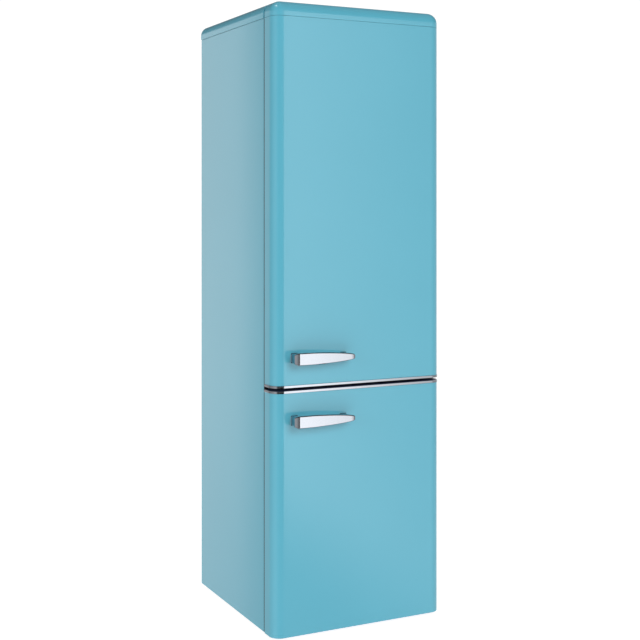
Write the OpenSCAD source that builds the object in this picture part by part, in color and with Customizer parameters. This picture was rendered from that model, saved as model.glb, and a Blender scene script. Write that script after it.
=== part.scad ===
// Free-standing fridge-freezer with a tall fridge door above a shorter freezer door.
// Both doors hang on the right and have rounded edges, chrome trims and tapered chrome handles.
// Frame: X to the right, Y to the rear, Z up. The origin is on the floor, in the middle of the
// footprint. Most pieces are drawn from the front plane of the cabinet, where y is 0, and
// from_front() moves them back to the origin.

/* [Overall size] */
// Height from the floor to the top of the cap
overall_h = 1810; // [1795:5:1840]
// Width of the doors and of the top cap
door_w = 550; // [546:1:556]
// Depth from the face of the handles to the rear edge of the sides
overall_d = 615; // [610:1:625]

/* [Doors] */
// Thickness of each door
door_t = 66; // [62:1:68]
// Air gap between the cabinet and a closed door, which the seal fills
door_gap = 7; // [6.5:0.5:8]
// Height of the middle of the slot between the two doors
split_z = 713; // [711:1:716]
// Height of the slot between the two doors
split_gap = 8; // [7:0.5:9]
// Radius of the front vertical edges and of the rounded top
edge_r = 32; // [26:1:33]
// Height of the chrome trims beside the slot
trim_h = 7; // [5:0.5:8]
// How far the chrome trims stand proud of the doors
trim_proud = 1.5; // [0.5:0.5:2]

/* [Handles] */
// How far the handles stand out of the doors
handle_reach = 42; // [36:1:46]
// Length of each handle
handle_l = 190; // [175:1:205]
// Height of the wide end of a handle
handle_wide = 35; // [30:1:38]
// Height of the narrow end of a handle
handle_narrow = 17; // [14:1:20]
// Height of the upper handle above the slot
upper_handle_rise = 88; // [70:1:120]
// Drop of the lower handle below the slot
lower_handle_drop = 88; // [80:1:120]

/* [Cabinet] */
// How far the sides stand in from the doors
side_step = 2; // [1:0.5:3]
// Height of the rounded top cap
cap_h = 44; // [40:1:46]
// Height of the cabinet above the floor
foot_h = 15; // [14:0.5:16]
// Thickness of the sheet steel
sheet = 0.8; // [0.6:0.1:1]

/* [Compartments] */
// Thickness of the plastic liners
liner_t = 2; // [1.5:0.5:2.5]
// Half the width of the fridge compartment
fridge_x = 230; // [228:1:231]
// Half the width of the freezer compartment
freezer_x = 215; // [214:1:216]
// Height of the glass over the crispers, which is also the lowest ledge for a shelf
ledge_low = 945; // [943:1:950]
// Spacing of the ledges for the shelves
ledge_pitch = 96; // [90:1:98]
// Number of ledges on each side wall
ledge_count = 8; // [7:1:8]

/* [Hidden] */
$fn = 96;

paint = "skyblue";
chrome = "silver";
white = "white";
black = "dimgray";

half_w = door_w / 2;
side_x = half_w - side_step;
cab_d = overall_d - handle_reach - door_t - door_gap;
cab_front = -overall_d / 2 + handle_reach + door_t + door_gap;
door_rear = -door_gap;
door_front = -door_gap - door_t;
top_z = overall_h - cap_h;
seam = 0.8; // shadow line between a painted cap and the sheet metal below it
back_y = cab_d - 22; // the back panel is set in, and the condenser fills the step

// hinge axis, near the rear right edge of both doors
hinge_x = half_w - 17;
hinge_y = -28;
pin_r = 4;
bore_r = 4.05;
door_corner_r = 3; // rear vertical edges of the doors

// fridge compartment
fridge_z0 = 751;
fridge_z1 = 1730;
fridge_d = 433;
cavity_r = 14;
// freezer compartment, whose floor steps up over the compressor
freezer_z0 = 85;
freezer_z1 = 678;
freezer_d = 413;
step_y = 255;
step_z = 285;
// recess for the compressor
recess_y = 305;
recess_z = 245;
flange_x = 235; // inner edge of the steel flanges that the seals close on
lip_gap = 3; // height of the liner's lip above and below a compartment
mullion_z0 = freezer_z1 + 2 * lip_gap;
mullion_z1 = fridge_z0 - lip_gap;

// levels of the doors
fridge_door_z0 = split_z + split_gap / 2;
freezer_door_z1 = split_z - split_gap / 2;
shelf_z = [for (i = [0, 2, 4, 6]) ledge_low + i * ledge_pitch];
cap_plate = 5; // bottom plate of the freezer door
insert_t = 3; // part of an end cap that sits inside the skin
boss_r = 9;

compressor_x = -120;
compressor_y = 405;
drain_y = 452;
tray_z = 30; // underside of the compressor tray

module from_front() {
    translate([0, cab_front, 0]) children();
}

// a block between two opposite corners
module block(low, high) {
    translate(low) cube(high - low);
}

// a flat shape in X and Z, drawn out along Y
module along_y(y0, y1) {
    translate([0, y1, 0]) rotate([90, 0, 0]) linear_extrude(y1 - y0) children();
}

// a flat shape in Y and Z, drawn out along X
module along_x(x0, x1) {
    translate([x0, 0, 0]) rotate([90, 0, 90]) linear_extrude(x1 - x0) children();
}

// a flat shape in X and Y, drawn out along Z
module along_z(z0, z1) {
    translate([0, 0, z0]) linear_extrude(z1 - z0) children();
}

// a rod between two heights
module rod_z(r, z0, z1) {
    translate([0, 0, z0]) cylinder(r = r, h = z1 - z0);
}

// a rod along X between two places
module rod_x(r, x0, x1) {
    translate([x0, 0, 0]) rotate([0, 90, 0]) cylinder(r = r, h = x1 - x0);
}

// a rod along Y between two places
module rod_y(r, y0, y1) {
    translate([0, y1, 0]) rotate([90, 0, 0]) cylinder(r = r, h = y1 - y0);
}

module rect(x0, y0, x1, y1) {
    translate([x0, y0]) square([x1 - x0, y1 - y0]);
}

// a rectangle with four round corners
module round_rect(x0, y0, x1, y1, r) {
    rect(x0 + r, y0, x1 - r, y1);
    rect(x0, y0 + r, x1, y1 - r);
    for (x = [x0 + r, x1 - r], y = [y0 + r, y1 - r]) translate([x, y]) circle(r);
}

// a pipe through a list of points, square to the axes, with a round bend at every corner
module pipe(points, r, bend) {
    n = len(points);
    dirs = [for (i = [0 : n - 2]) (points[i + 1] - points[i]) / norm(points[i + 1] - points[i])];
    for (i = [0 : n - 2]) {
        a = points[i] + (i > 0 ? bend : 0) * dirs[i];
        b = points[i + 1] - (i < n - 2 ? bend : 0) * dirs[i];
        d = dirs[i];
        translate(a) rotate(d[2] != 0 ? [d[2] > 0 ? 0 : 180, 0, 0]
                            : d[0] != 0 ? [0, 90 * d[0], 0] : [-90 * d[1], 0, 0])
            cylinder(r = r, h = norm(b - a));
    }
    for (i = [1 : n - 2]) {
        u = dirs[i - 1];
        v = dirs[i];
        w = cross(u, v);
        c = points[i] - bend * u + bend * v;
        multmatrix([[-v[0], u[0], w[0], c[0]], [-v[1], u[1], w[1], c[1]],
                    [-v[2], u[2], w[2], c[2]]])
            rotate_extrude(angle = 90) translate([bend, 0]) circle(r);
    }
}

// a rectangle with round lower corners, for drawers and bins
module tub_rect(x0, y0, x1, y1, r) {
    rect(x0 + r, y0, x1 - r, y1);
    rect(x0, y0 + r, x1, y1);
    for (x = [x0 + r, x1 - r]) translate([x, y0 + r]) circle(r);
}

// ---------------------------------------------------------------- cabinet shell

// Sheet steel side: wall, front flange for the seals and a narrow fold at the rear edge.
module side_panel(side) {
    mirror([side < 0 ? 1 : 0, 0, 0]) {
        block([side_x - sheet, 0, foot_h], [side_x, cab_d, top_z]);
        block([flange_x, 0, foot_h], [side_x, sheet, top_z]);
        block([side_x - 10, cab_d - sheet, foot_h], [side_x, cab_d, top_z]);
    }
}

module left_side_panel() color(paint) from_front() side_panel(-1);
module right_side_panel() color(paint) from_front() side_panel(1);

module top_panel() color(paint) from_front()
    block([-side_x + sheet, sheet, top_z - sheet], [side_x - sheet, cab_d - sheet, top_z]);

module cap_profile(inset) {
    r = edge_r - inset;
    w = half_w - inset;
    z1 = overall_h - inset;
    rect(-w, top_z + seam, w, z1 - r);
    rect(-w + r, z1 - r, w - r, z1);
    intersection() {
        union() for (x = [-w + r, w - r]) translate([x, z1 - r]) circle(r);
        rect(-w, top_z + seam, w, z1);
    }
}

// Rounded cover over the cabinet. It overhangs the sides and hides the upper hinge.
module top_cap() {
    wall = 2.5;
    front = -1.5;
    skirt_w = 5;
    color(paint) from_front() difference() {
        union() {
            along_y(front, cab_d) cap_profile(0);
            for (s = [-1, 1]) mirror([s < 0 ? 1 : 0, 0, 0])
                block([side_x - skirt_w, 10, top_z], [side_x, cab_d - 10, top_z + 4]);
        }
        difference() {
            along_y(front + wall, cab_d - wall) cap_profile(wall);
            for (y = [120, 240, 360]) // stiffening ribs under the top
                block([-half_w, y, overall_h - 14], [half_w, y + 2, overall_h]);
        }
        // opening under the front edge for the arm of the upper hinge
        block([hinge_x - 15, front - 1, top_z], [half_w + 1, 3, top_z + 6]);
        block([side_x - skirt_w - 2, 3, top_z], [side_x - wall, 70, top_z + 6]);
        // hollow of the skirt, open below
        block([-side_x + skirt_w, front + wall, top_z - 1],
              [side_x - skirt_w, cab_d - wall, top_z + seam]);
    }
}

module back_panel() color("lightgray") from_front()
    block([-side_x + sheet, back_y - sheet, recess_z], [side_x - sheet, back_y, top_z - sheet]);

// One bent sheet: floor, wall in front of the compressor and roof of its recess.
module base_plate() color("lightgray") from_front() difference() {
    x = side_x - sheet;
    union() {
        block([-x, sheet, foot_h], [x, recess_y, foot_h + sheet]);
        block([-x, recess_y - sheet, foot_h], [x, recess_y, recess_z]);
        block([-x, recess_y - sheet, recess_z - sheet], [x, back_y, recess_z]);
    }
    for (s = [-1, 1]) translate([s * foot_x, foot_y, 0]) rod_z(foot_hole_r, 0, 30);
    translate([compressor_x, drain_y, 0]) rod_z(drain_r + 0.3, recess_z - 5, recess_z + 5);
}

// Steel strips across the front, above, between and below the compartments.
module front_rails() color(paint) from_front() {
    block([-flange_x, 0, fridge_z1 + lip_gap], [flange_x, sheet, top_z - sheet]);
    block([-flange_x, 0, mullion_z0], [flange_x, sheet, mullion_z1]);
    block([-flange_x, 0, foot_h], [flange_x, sheet, freezer_z0 - lip_gap]);
}

// ---------------------------------------------------------------- compartments

// Space of the fridge compartment, made larger by out for the liner's outer face.
module fridge_cavity(out, y0) {
    along_y(y0, fridge_d + out)
        round_rect(-fridge_x - out, fridge_z0 - out, fridge_x + out, fridge_z1 + out,
                   cavity_r + out);
}

// Outer shape of the fridge liner, with the lip that meets the steel flanges.
module fridge_liner_block() {
    fridge_cavity(liner_t, 0);
    block([-flange_x, 0, mullion_z1], [flange_x, liner_t, fridge_z1 + lip_gap]);
}

module freezer_cavity(out, y0) {
    difference() {
        along_y(y0, freezer_d + out)
            round_rect(-freezer_x - out, freezer_z0 - out, freezer_x + out, freezer_z1 + out,
                       cavity_r + out);
        block([-300, step_y + out, 0], [300, freezer_d + 10, step_z - out]);
    }
}

module freezer_liner_block() {
    freezer_cavity(liner_t, 0);
    block([-flange_x, 0, freezer_z0 - lip_gap], [flange_x, liner_t, mullion_z0]);
}

foot_x = 215;
foot_y = 40;
foot_hole_r = 4.6;
drain_r = 7;
plate_x = 190; // half the width of the fridge evaporator
plate_z = [1000, 1500];

// Foamed-in insulation. It fills the space between the shell and the two liners.
module cabinet_foam() color("khaki") from_front() difference() {
    x = side_x - sheet;
    block([-x, sheet, foot_h + sheet], [x, back_y - sheet, top_z - sheet]);
    fridge_liner_block();
    freezer_liner_block();
    block([-300, recess_y - sheet, 0], [300, 600, recess_z]);
    block([-plate_x - 5, fridge_d + 1, plate_z[0] - 10],
          [plate_x + 5, fridge_d + 14, plate_z[1] + 10]);
    drain(drain_r, fridge_d + 1, recess_z - 5);
    for (s = [-1, 1]) translate([s * foot_x, foot_y, 0]) rod_z(7, 0, 55);
}

ledge_w = 8;
ledge_t = 5;
drain_top_z = 778;

// Fridge liner: a deep tub lying on its back, with ledges for the shelves.
module fridge_liner() color(white) from_front() difference() {
    union() {
        difference() {
            fridge_liner_block();
            fridge_cavity(0, -1);
        }
        for (i = [0 : ledge_count - 1], s = [-1, 1]) mirror([s < 0 ? 1 : 0, 0, 0])
            translate([0, 0, ledge_low + i * ledge_pitch])
                block([fridge_x - ledge_w, 130, -ledge_t], [fridge_x + 1, fridge_d + 1, 0]);
    }
    translate([compressor_x, 0, drain_top_z - drain_r])
        rod_y(drain_r + 0.2, fridge_d - 1, fridge_d + 4);
}

// Freezer liner, stepped over the compressor, with ledges for the evaporator shelves.
module freezer_liner() color(white) from_front() {
    difference() {
        freezer_liner_block();
        freezer_cavity(0, -1);
    }
    for (z = coil_z, s = [-1, 1]) mirror([s < 0 ? 1 : 0, 0, 0])
        block([freezer_x - 6, 50, z - coil_r - 5], [freezer_x + 1, freezer_d + 1, z - coil_r]);
}

// ---------------------------------------------------------------- refrigeration

// A flat tube that runs to and fro along X: centre line at y0, y0 + pitch and so on.
module serpentine(r, half, pitch, runs) {
    for (i = [0 : runs - 1]) translate([0, i * pitch, 0]) rod_x(r, -half, half);
    for (i = [0 : runs - 2]) {
        s = i % 2 == 0 ? 1 : -1;
        translate([s * half, (i + 0.5) * pitch, 0]) rotate([0, 0, s > 0 ? -90 : 90])
            rotate_extrude(angle = 180) translate([pitch / 2, 0]) circle(r);
    }
}

// Plate evaporator behind the rear wall of the fridge, with its tube bonded to the back.
module fridge_evaporator() color("silver") from_front() {
    plate_t = 1.5;
    y = fridge_d + liner_t;
    block([-plate_x, y, plate_z[0]], [plate_x, y + plate_t, plate_z[1]]);
    translate([0, y + plate_t + 2.5, plate_z[0] + 20]) rotate([90, 0, 0])
        serpentine(3.5, 140, 46, 11);
}

coil_r = 4; // tube of the freezer evaporator
coil_z = [292, 487]; // heights of its two shelves
coil_wire = 2.4; // width and height of the cross wires, which are welded onto the tube

// Tube and wire shelves between the freezer drawers. They are the freezer's evaporator.
module freezer_evaporator() color("gainsboro") from_front() {
    for (z = coil_z) translate([0, 0, z]) {
        translate([0, 70, 0]) serpentine(coil_r, 178, 52, 7);
        for (i = [-8 : 8]) translate([i * 21, 0, coil_r - 0.4])
            block([-coil_wire / 2, 62, 0], [coil_wire / 2, 390, coil_wire]);
    }
}

// Path of the meltwater, from the rear wall of the fridge at y0 down to z0.
module drain(r, y0, z0) {
    z = drain_top_z - drain_r;
    pipe([[compressor_x, y0, z], [compressor_x, drain_y, z], [compressor_x, drain_y, z0]], r, 12);
}

// Drain tube, which ends over the tray on the compressor.
module drain_tube() color("lightgray") from_front() difference() {
    drain(drain_r, fridge_d, recess_z - 20);
    drain(drain_r - 2, fridge_d - 1, recess_z - 21);
}

roller_x = 200;
roller_y = 470;
roller_r = 14;
axle_r = 3;
roller_half = 8;
grommet_h = 8;
foot_span = 62; // half the distance between the compressor's mounting holes
compressor_z = tray_z + 2 + grommet_h;
compressor_r = 72;
dome_r = 120;
dome_rise = dome_r - sqrt(dome_r * dome_r - compressor_r * compressor_r);
shell_h = 96;
compressor_top = compressor_z + 3 + shell_h + dome_rise;
stub_y = 28; // the pipe stubs leave the compressor on both sides of its middle
inlet_x = 90;
inlet_z = tray_z + 28;

// Cross member of the base. It carries the compressor and holds the axles of the rollers.
module compressor_tray() color("gainsboro") from_front() {
    x = side_x - sheet;
    t = 2;
    y0 = recess_y + 4;
    y1 = cab_d - 6;
    difference() {
        union() {
            block([-x, y0, tray_z], [x, y1, tray_z + t]);
            block([-x, y0, tray_z], [x, y0 + t, tray_z + 14]);
            block([-x, y1 - t, tray_z], [x, y1, tray_z + 14]);
            block([inlet_x - 18, y1 - t, tray_z], [inlet_x + 18, y1, inlet_z + 16]);
            for (s = [-1, 1], e = [-1, 1])
                translate([s * roller_x + e * (roller_half + 2), 0, 0])
                    block([-1, roller_y - 12, roller_r - 6], [1, roller_y + 12, tray_z + 1]);
        }
        translate([inlet_x, 0, inlet_z]) rod_y(9.02, y1 - t - 1, y1 + 1);
    }
    for (s = [-1, 1]) translate([s * roller_x, roller_y, roller_r])
        rod_x(axle_r, -roller_half - 5, roller_half + 5);
}

// Hermetic compressor: two pressed domes, a mounting plate with four holes and pipe stubs.
module compressor() color(black) from_front() translate([compressor_x, compressor_y, 0]) {
    z0 = compressor_z;
    r = compressor_r;
    difference() {
        along_z(z0, z0 + 3) round_rect(-78, -74, 78, 74, 16);
        for (x = [-1, 1], y = [-1, 1]) translate([x * foot_span, y * foot_span, 0])
            rod_z(5, z0 - 1, z0 + 4);
    }
    // turned profile: straight wall with a weld rim and a shallow dome above
    translate([0, 0, z0 + 3]) rotate_extrude() union() {
        rect(0, 0, r, shell_h);
        rect(0, 44, r + 4, 48);
        intersection() {
            translate([0, shell_h - dome_r + dome_rise]) circle(dome_r);
            rect(0, shell_h - 1, r, shell_h + dome_rise + 1);
        }
    }
    for (s = [-1, 1]) translate([0, s * stub_y, z0 + 70]) rod_x(4, 50, 86);
    translate([0, -stub_y, z0 + 20]) rod_x(4, 50, 80);
}

module compressor_grommets() color(black) from_front()
    translate([compressor_x, compressor_y, 0])
    for (x = [-1, 1], y = [-1, 1]) translate([x * foot_span, y * foot_span, 0])
        difference() {
            union() {
                rod_z(9, tray_z + 2, tray_z + 2 + grommet_h);
                rod_z(4.9, tray_z + 2 + grommet_h, tray_z + 5 + grommet_h);
                rod_z(8, tray_z + 5 + grommet_h, tray_z + 8 + grommet_h);
            }
            rod_z(2.5, tray_z, tray_z + 20);
        }

// Starter and overload protector in a clipped cover on the side of the compressor.
module relay_box() color("whitesmoke") from_front()
    translate([compressor_x, compressor_y, 0]) difference() {
        union() {
            along_z(64, 122) round_rect(-108, -32, -50, 32, 5);
            along_z(70, 80) rect(-111, -12, -100, 12);
        }
        rod_z(compressor_r + 4.3, 60, 130);
    }

// Shallow tray on the dome of the compressor, where its warmth dries the meltwater.
module evaporating_tray() color("whitesmoke") from_front()
    translate([compressor_x, compressor_y, 0]) {
        z0 = compressor_top + 0.02;
        difference() {
            along_z(z0, z0 + 46) round_rect(-92, -72, 92, 72, 14);
            along_z(z0 + 2.5, z0 + 60) round_rect(-89.5, -69.5, 89.5, 69.5, 11.5);
        }
        difference() { // collar that centres the tray on the dome
            rod_z(44, z0 - 6, z0 + 1);
            rod_z(41, z0 - 7, z0);
        }
    }

cond_r = 2.4;
cond_y = back_y + 10;
cond_z0 = 290;
cond_pitch = 60;
cond_runs = 24;
cond_half = 205;
cond_wire_r = 0.8;
cond_top = cond_z0 + cond_pitch * (cond_runs - 1);
clip_x = 199.5;
clip_runs = [1, 8, 15, 22];

// Condenser tube on the back, zigzagging upwards. Its free ends are on the right.
module condenser_coil() color(black) from_front()
    mirror([1, 0, 0]) translate([0, cond_y, cond_z0]) rotate([90, 0, 0])
        serpentine(cond_r, cond_half, cond_pitch, cond_runs);

// Upright wires on both faces of the condenser tube, and the clips that hold it off the back.
module condenser_wires() color(black) from_front() {
    wire_y = cond_r + cond_wire_r + 0.05;
    for (i = [-16 : 16], s = [-1, 1])
        translate([i * 12, cond_y + s * wire_y, 0])
            rod_z(cond_wire_r, cond_z0 - 12, cond_top + 12);
    for (x = [-1, 1], i = clip_runs) translate([x * clip_x, 0, cond_z0 + i * cond_pitch])
        difference() {
            union() {
                block([-4.5, back_y, -7], [4.5, cond_y + 4, 7]);
                block([-4.5, back_y, -16], [4.5, back_y + 2, 16]);
            }
            translate([0, cond_y, 0]) rod_x(cond_r + 0.03, -10, 10);
        }
}

pipe_r = 2.4;

// Copper pipes: discharge line up to the condenser, and the filter drier at its lower end.
module refrigerant_pipes() color("peru") from_front() {
    x = 250;
    z = compressor_z + 70;
    y = compressor_y + stub_y;
    gap = 0.1;
    pipe([[compressor_x + 86 + gap, y, z], [60, y, z], [60, cond_y, z], [x, cond_y, z],
          [x, cond_y, cond_top], [cond_half + gap, cond_y, cond_top]], pipe_r, 12);
    pipe([[cond_half + gap, cond_y, cond_z0], [232, cond_y, cond_z0], [232, cond_y, 190],
          [190, cond_y, 190]], pipe_r, 12);
    translate([190, cond_y, 190]) { // filter drier: a spun cylinder with tapered ends
        rotate([0, -90, 0]) cylinder(r1 = pipe_r, r2 = 8, h = 10);
        rod_x(8, -80, -10);
        translate([-80, 0, 0]) rotate([0, -90, 0]) cylinder(r1 = 8, r2 = 1.2, h = 12);
    }
    pipe([[100, cond_y, 190], [40, cond_y, 190], [40, 440, 190], [40, 440, recess_z - 1]],
         1.2, 8);
    pipe([[compressor_x + 86 + gap, compressor_y - stub_y, z],
          [10, compressor_y - stub_y, z], [10, compressor_y - stub_y, recess_z - 1]], 3.5, 12);
}

// Bushing in the compressor tray's rear ear, where the supply lead would enter.
module mains_inlet() color(black) from_front() translate([inlet_x, 0, inlet_z])
    difference() {
        union() {
            rod_y(13, cab_d - 6, cab_d - 3);
            rod_y(9, cab_d - 20, cab_d - 1);
        }
        rod_y(4.2, cab_d - 30, cab_d);
    }

// ---------------------------------------------------------------- hinges and feet

// Upper hinge: plate on top of the cabinet, an arm under the cap and a pin down into the door.
module top_hinge() color(black) from_front() {
    arm_z = top_z + 1;
    arm_t = 3;
    difference() {
        union() {
            along_z(arm_z, arm_z + arm_t) union() {
                rect(232, 8, side_x - 6, 66);
                rect(hinge_x - 12, hinge_y, hinge_x + 9, 8);
                translate([hinge_x, hinge_y]) circle(12);
            }
            block([232, 8, top_z], [side_x - 6, 66, arm_z]);
        }
        for (p = top_screws) translate([p[0], p[1], 0]) rod_z(2.6, top_z - 1, arm_z + 10);
    }
    translate([hinge_x, hinge_y, 0]) rod_z(pin_r, top_z - 25, arm_z + arm_t);
}

top_screws = [[240, 18], [240, 56], [260, 37]];
plate_half = 2;

// Middle hinge: a wide plate in the slot between the doors, with a pin for each door.
module middle_hinge() color(black) from_front() {
    x0 = 168;
    difference() {
        union() {
            along_z(split_z - plate_half, split_z + plate_half) union() {
                rect(x0, hinge_y - 16, hinge_x, 0);
                rect(hinge_x - 1, hinge_y - 2, hinge_x + 12, 0);
                translate([hinge_x, hinge_y - 4]) circle(12);
            }
            block([x0, -2.5, split_z - 9], [248, 0, split_z + 10]);
        }
        for (x = middle_screw_x) translate([x, 0, split_z + 6]) rod_y(2.2, -10, 5);
    }
    translate([hinge_x, hinge_y, 0]) rod_z(pin_r, freezer_door_z1 - 20, fridge_door_z0 + 20);
}

middle_screw_x = [180, 208, 236];

// Lower hinge: a plate under the cabinet with a pin up into the freezer door.
module bottom_hinge() color(black) from_front() {
    z0 = foot_h - 5;
    difference() {
        union() {
            along_z(z0, z0 + 3) union() {
                rect(238, hinge_y, 270, 70);
                translate([hinge_x, hinge_y]) circle(12);
                rect(238, hinge_y - 2, hinge_x, hinge_y + 2);
            }
            block([238, 6, z0 + 3], [270, 70, foot_h]);
        }
        for (p = bottom_screws) translate([p[0], p[1], 0]) rod_z(2.6, 0, foot_h + 1);
    }
    translate([hinge_x, hinge_y, 0]) rod_z(pin_r, z0, foot_h + 24);
}

bottom_screws = [[254, 20], [254, 56]];

// A screw with a domed hexagon head, its head at the origin and its shank downwards.
module screw(shank_r, length) {
    rod_z(shank_r, -length, 0);
    cylinder(r = shank_r * 2, h = 1);
    cylinder(r = shank_r * 1.9, h = 3.2, $fn = 6);
}

module hinge_screws() color("silver") from_front() {
    for (p = top_screws) translate([p[0], p[1], top_z + 4]) screw(2.4, 4);
    for (x = middle_screw_x) translate([x, -2.5, split_z + 6]) rotate([90, 0, 0]) screw(2, 2.5);
    for (p = bottom_screws) translate([p[0], p[1], foot_h - 5]) rotate([180, 0, 0]) screw(2.4, 5);
}

// Levelling foot: a ribbed pad on a threaded stud that turns in the base.
module foot() {
    difference() {
        rod_z(17, 0, 9);
        for (a = [0 : 30 : 330]) rotate([0, 0, a]) translate([18, 0, 0]) rod_z(2.5, 3, 10);
    }
    rod_z(4, 8, 50);
    cylinder(r = 8, h = 12, $fn = 6);
}

module left_foot() color(black) from_front() translate([-foot_x, foot_y, 0]) foot();
module right_foot() color(black) from_front() translate([foot_x, foot_y, 0]) foot();

module roller() difference() {
    union() {
        rod_x(roller_r, -roller_half, roller_half);
    }
    rod_x(axle_r + 0.06, -20, 20);
    for (s = [-1, 1]) translate([s * (roller_half + 1), 0, 0]) difference() { // dished faces
        rod_x(roller_r - 3, -3, 3);
        rod_x(6, -3, 3);
    }
}

module left_roller() color(black) from_front()
    translate([-roller_x, roller_y, roller_r]) roller();
module right_roller() color(black) from_front()
    translate([roller_x, roller_y, roller_r]) roller();

// ---------------------------------------------------------------- fittings in the fridge

control_y0 = 62;
control_y1 = 230;
control_z = 1684;

module control_profile(inset) {
    y0 = control_y0 + inset;
    z0 = control_z + inset;
    r = 14 - inset;
    rect(y0, z0 + r, control_y1 - inset, fridge_z1 - inset);
    rect(y0 + r, z0, control_y1 - inset, fridge_z1 - inset);
    translate([y0 + r, z0 + r]) circle(r);
}

// Housing on the fridge's ceiling for the thermostat, the lamp and the door switch.
module control_box() color(white) from_front() difference() {
    along_x(-150, 150) control_profile(0);
    along_x(-147, 147) control_profile(3);
    block([-90, 110, control_z - 1], [30, 200, control_z + 4]); // lamp opening
    translate([knob_x, 0, knob_z]) rod_y(3.2, control_y0 - 1, control_y0 + 4);
    translate([switch_x, 0, switch_z]) rod_y(4.3, control_y0 - 1, control_y0 + 4);
}

// Ribbed diffuser in the underside of the control housing.
module lamp_lens() color("ivory") from_front() difference() {
    block([-89.5, 110.5, control_z - 2], [29.5, 199.5, control_z + 8]);
    block([-87, 113, control_z + 0.5], [27, 197, control_z + 9]);
}

knob_x = 95;
knob_z = 1707;

// Thermostat knob: a dished disc with a grip bar, on a short spindle.
module thermostat_knob() color("gainsboro") from_front()
    translate([knob_x, control_y0 - 0.6, knob_z]) {
        difference() {
            rod_y(18, -9, 0);
            difference() {
                rod_y(15.5, -10, -4);
                block([-3, -11, -16], [3, 1, 16]);
            }
        }
        rod_y(3.1, -1, 16);
    }

switch_x = -110;
switch_z = 1704;
switch_travel = 8;

// Spring-loaded plunger that the closed fridge door holds in.
module light_switch_plunger() color("gainsboro") from_front()
    translate([switch_x, 0, switch_z]) {
        rod_y(4.2, dike_y + 0.4, control_y0 + 22);
        rod_y(7, control_y0 + switch_travel + 4, control_y0 + switch_travel + 7);
    }

shelf_x = 226;
shelf_y0 = 128;
shelf_y1 = 428;
glass_t = 4;

module pane(z) {
    block([-shelf_x, shelf_y0, z], [shelf_x, shelf_y1, z + glass_t]);
}

module shelf_glass() color("lightcyan") from_front() for (z = shelf_z) pane(z);

// Clip-on plastic edges at the front and the rear of each glass shelf.
module shelf_trims() color(white) from_front() for (z = shelf_z)
    difference() {
        union() {
            along_x(-shelf_x + 9, shelf_x - 9)
                round_rect(shelf_y0 - 7, z - 5, shelf_y0 + 9, z + 9, 3);
            along_x(-shelf_x + 9, shelf_x - 9)
                round_rect(shelf_y1 - 7, z - 3, shelf_y1 + 2, z + 22, 2);
        }
        block([-shelf_x, shelf_y0, z], [shelf_x, shelf_y1, z + glass_t]);
    }

// Tapered tub without a lid: w wide and d deep, standing at z0, with walls of thickness t.
module tub(x0, x1, y0, y1, z0, z1, r, t) {
    difference() {
        along_y(y0, y1) tub_rect(x0, z0, x1, z1, r);
        along_y(y0 + t, y1 - t) tub_rect(x0 + t, z0 + t, x1 - t, z1 + 10, r - t);
    }
}

crisper_y0 = 128;
crisper_top = 934;

// Salad crisper with a grip lip along its front.
module crisper(x0, x1) {
    tub(x0, x1, crisper_y0, 420, fridge_z0 + 0.5, crisper_top, 16, 2.4);
    block([x0 + 10, crisper_y0 - 12, crisper_top - 3], [x1 - 10, crisper_y0 + 1, crisper_top]);
    block([x0 + 10, crisper_y0 - 12, crisper_top - 16], [x1 - 10, crisper_y0 - 9.6, crisper_top]);
}

module left_crisper() color("azure") from_front() crisper(-222, -2);
module right_crisper() color("azure") from_front() crisper(2, 222);

drawer_x = 209;
drawer_y0 = 34;

// Freezer drawer: a tub with a taller front that has a grip opening.
module freezer_drawer(y1, z0, z1, front_z1) {
    grip_w = 70;
    grip_z = front_z1 - 32;
    tub(-drawer_x, drawer_x, drawer_y0, y1, z0, z1, 12, 2.4);
    difference() {
        along_y(drawer_y0, drawer_y0 + 3) round_rect(-drawer_x, z0, drawer_x, front_z1, 8);
        along_y(drawer_y0 - 1, drawer_y0 + 5) round_rect(-grip_w, grip_z, grip_w, grip_z + 20, 9);
    }
    // hood over the grip opening
    difference() {
        along_y(drawer_y0 - 12, drawer_y0 + 1)
            round_rect(-grip_w - 6, grip_z - 4, grip_w + 6, grip_z + 26, 12);
        along_y(drawer_y0 - 9.6, drawer_y0 + 2)
            round_rect(-grip_w - 3.6, grip_z - 1.6, grip_w + 3.6, grip_z + 23.6, 9.6);
        block([-300, drawer_y0 - 14, grip_z - 10], [300, drawer_y0 + 2, grip_z + 2]);
    }
}

drawer_rise = coil_r + coil_wire + 0.2; // from the middle of a coil to the drawer on it

module top_freezer_drawer() color("azure") from_front()
    freezer_drawer(400, coil_z[1] + drawer_rise, 640, 664);
module middle_freezer_drawer() color("azure") from_front()
    freezer_drawer(400, coil_z[0] + drawer_rise, 442, 468);
module bottom_freezer_drawer() color("azure") from_front()
    freezer_drawer(246, freezer_z0 + 0.5, 240, 270);

// ---------------------------------------------------------------- doors

// Plan of a door: large radii in front, small ones behind, all set in by inset. rr is the
// radius of the rear right corner, beside the hinge.
module door_plan(inset = 0, rr = door_corner_r) {
    w = half_w - inset;
    y0 = door_front + inset;
    y1 = door_rear - inset;
    r = edge_r - inset;
    left = max(door_corner_r - inset, 0.5);
    right = max(rr - inset, 0.5);
    rect(-w + r, y0, w - r, y1 - right);
    rect(-w, y0 + r, w, y1 - right);
    rect(-w, y0 + r, 0, y1 - left);
    rect(-w + left, y0 + r, w - right, y1);
    for (s = [-1, 1]) translate([s * (w - r), y0 + r]) circle(r);
    translate([-w + left, y1 - left]) circle(left);
    translate([w - right, y1 - right]) circle(right);
}

// Pressed steel skin: front and sides in one sheet, folded in at the rear edges.
module door_skin(z0, z1) {
    fold = 12;
    along_z(z0, z1) difference() {
        door_plan();
        door_plan(sheet);
        rect(-half_w + fold, door_rear - 4, half_w - fold, door_rear + 1);
    }
}

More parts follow.
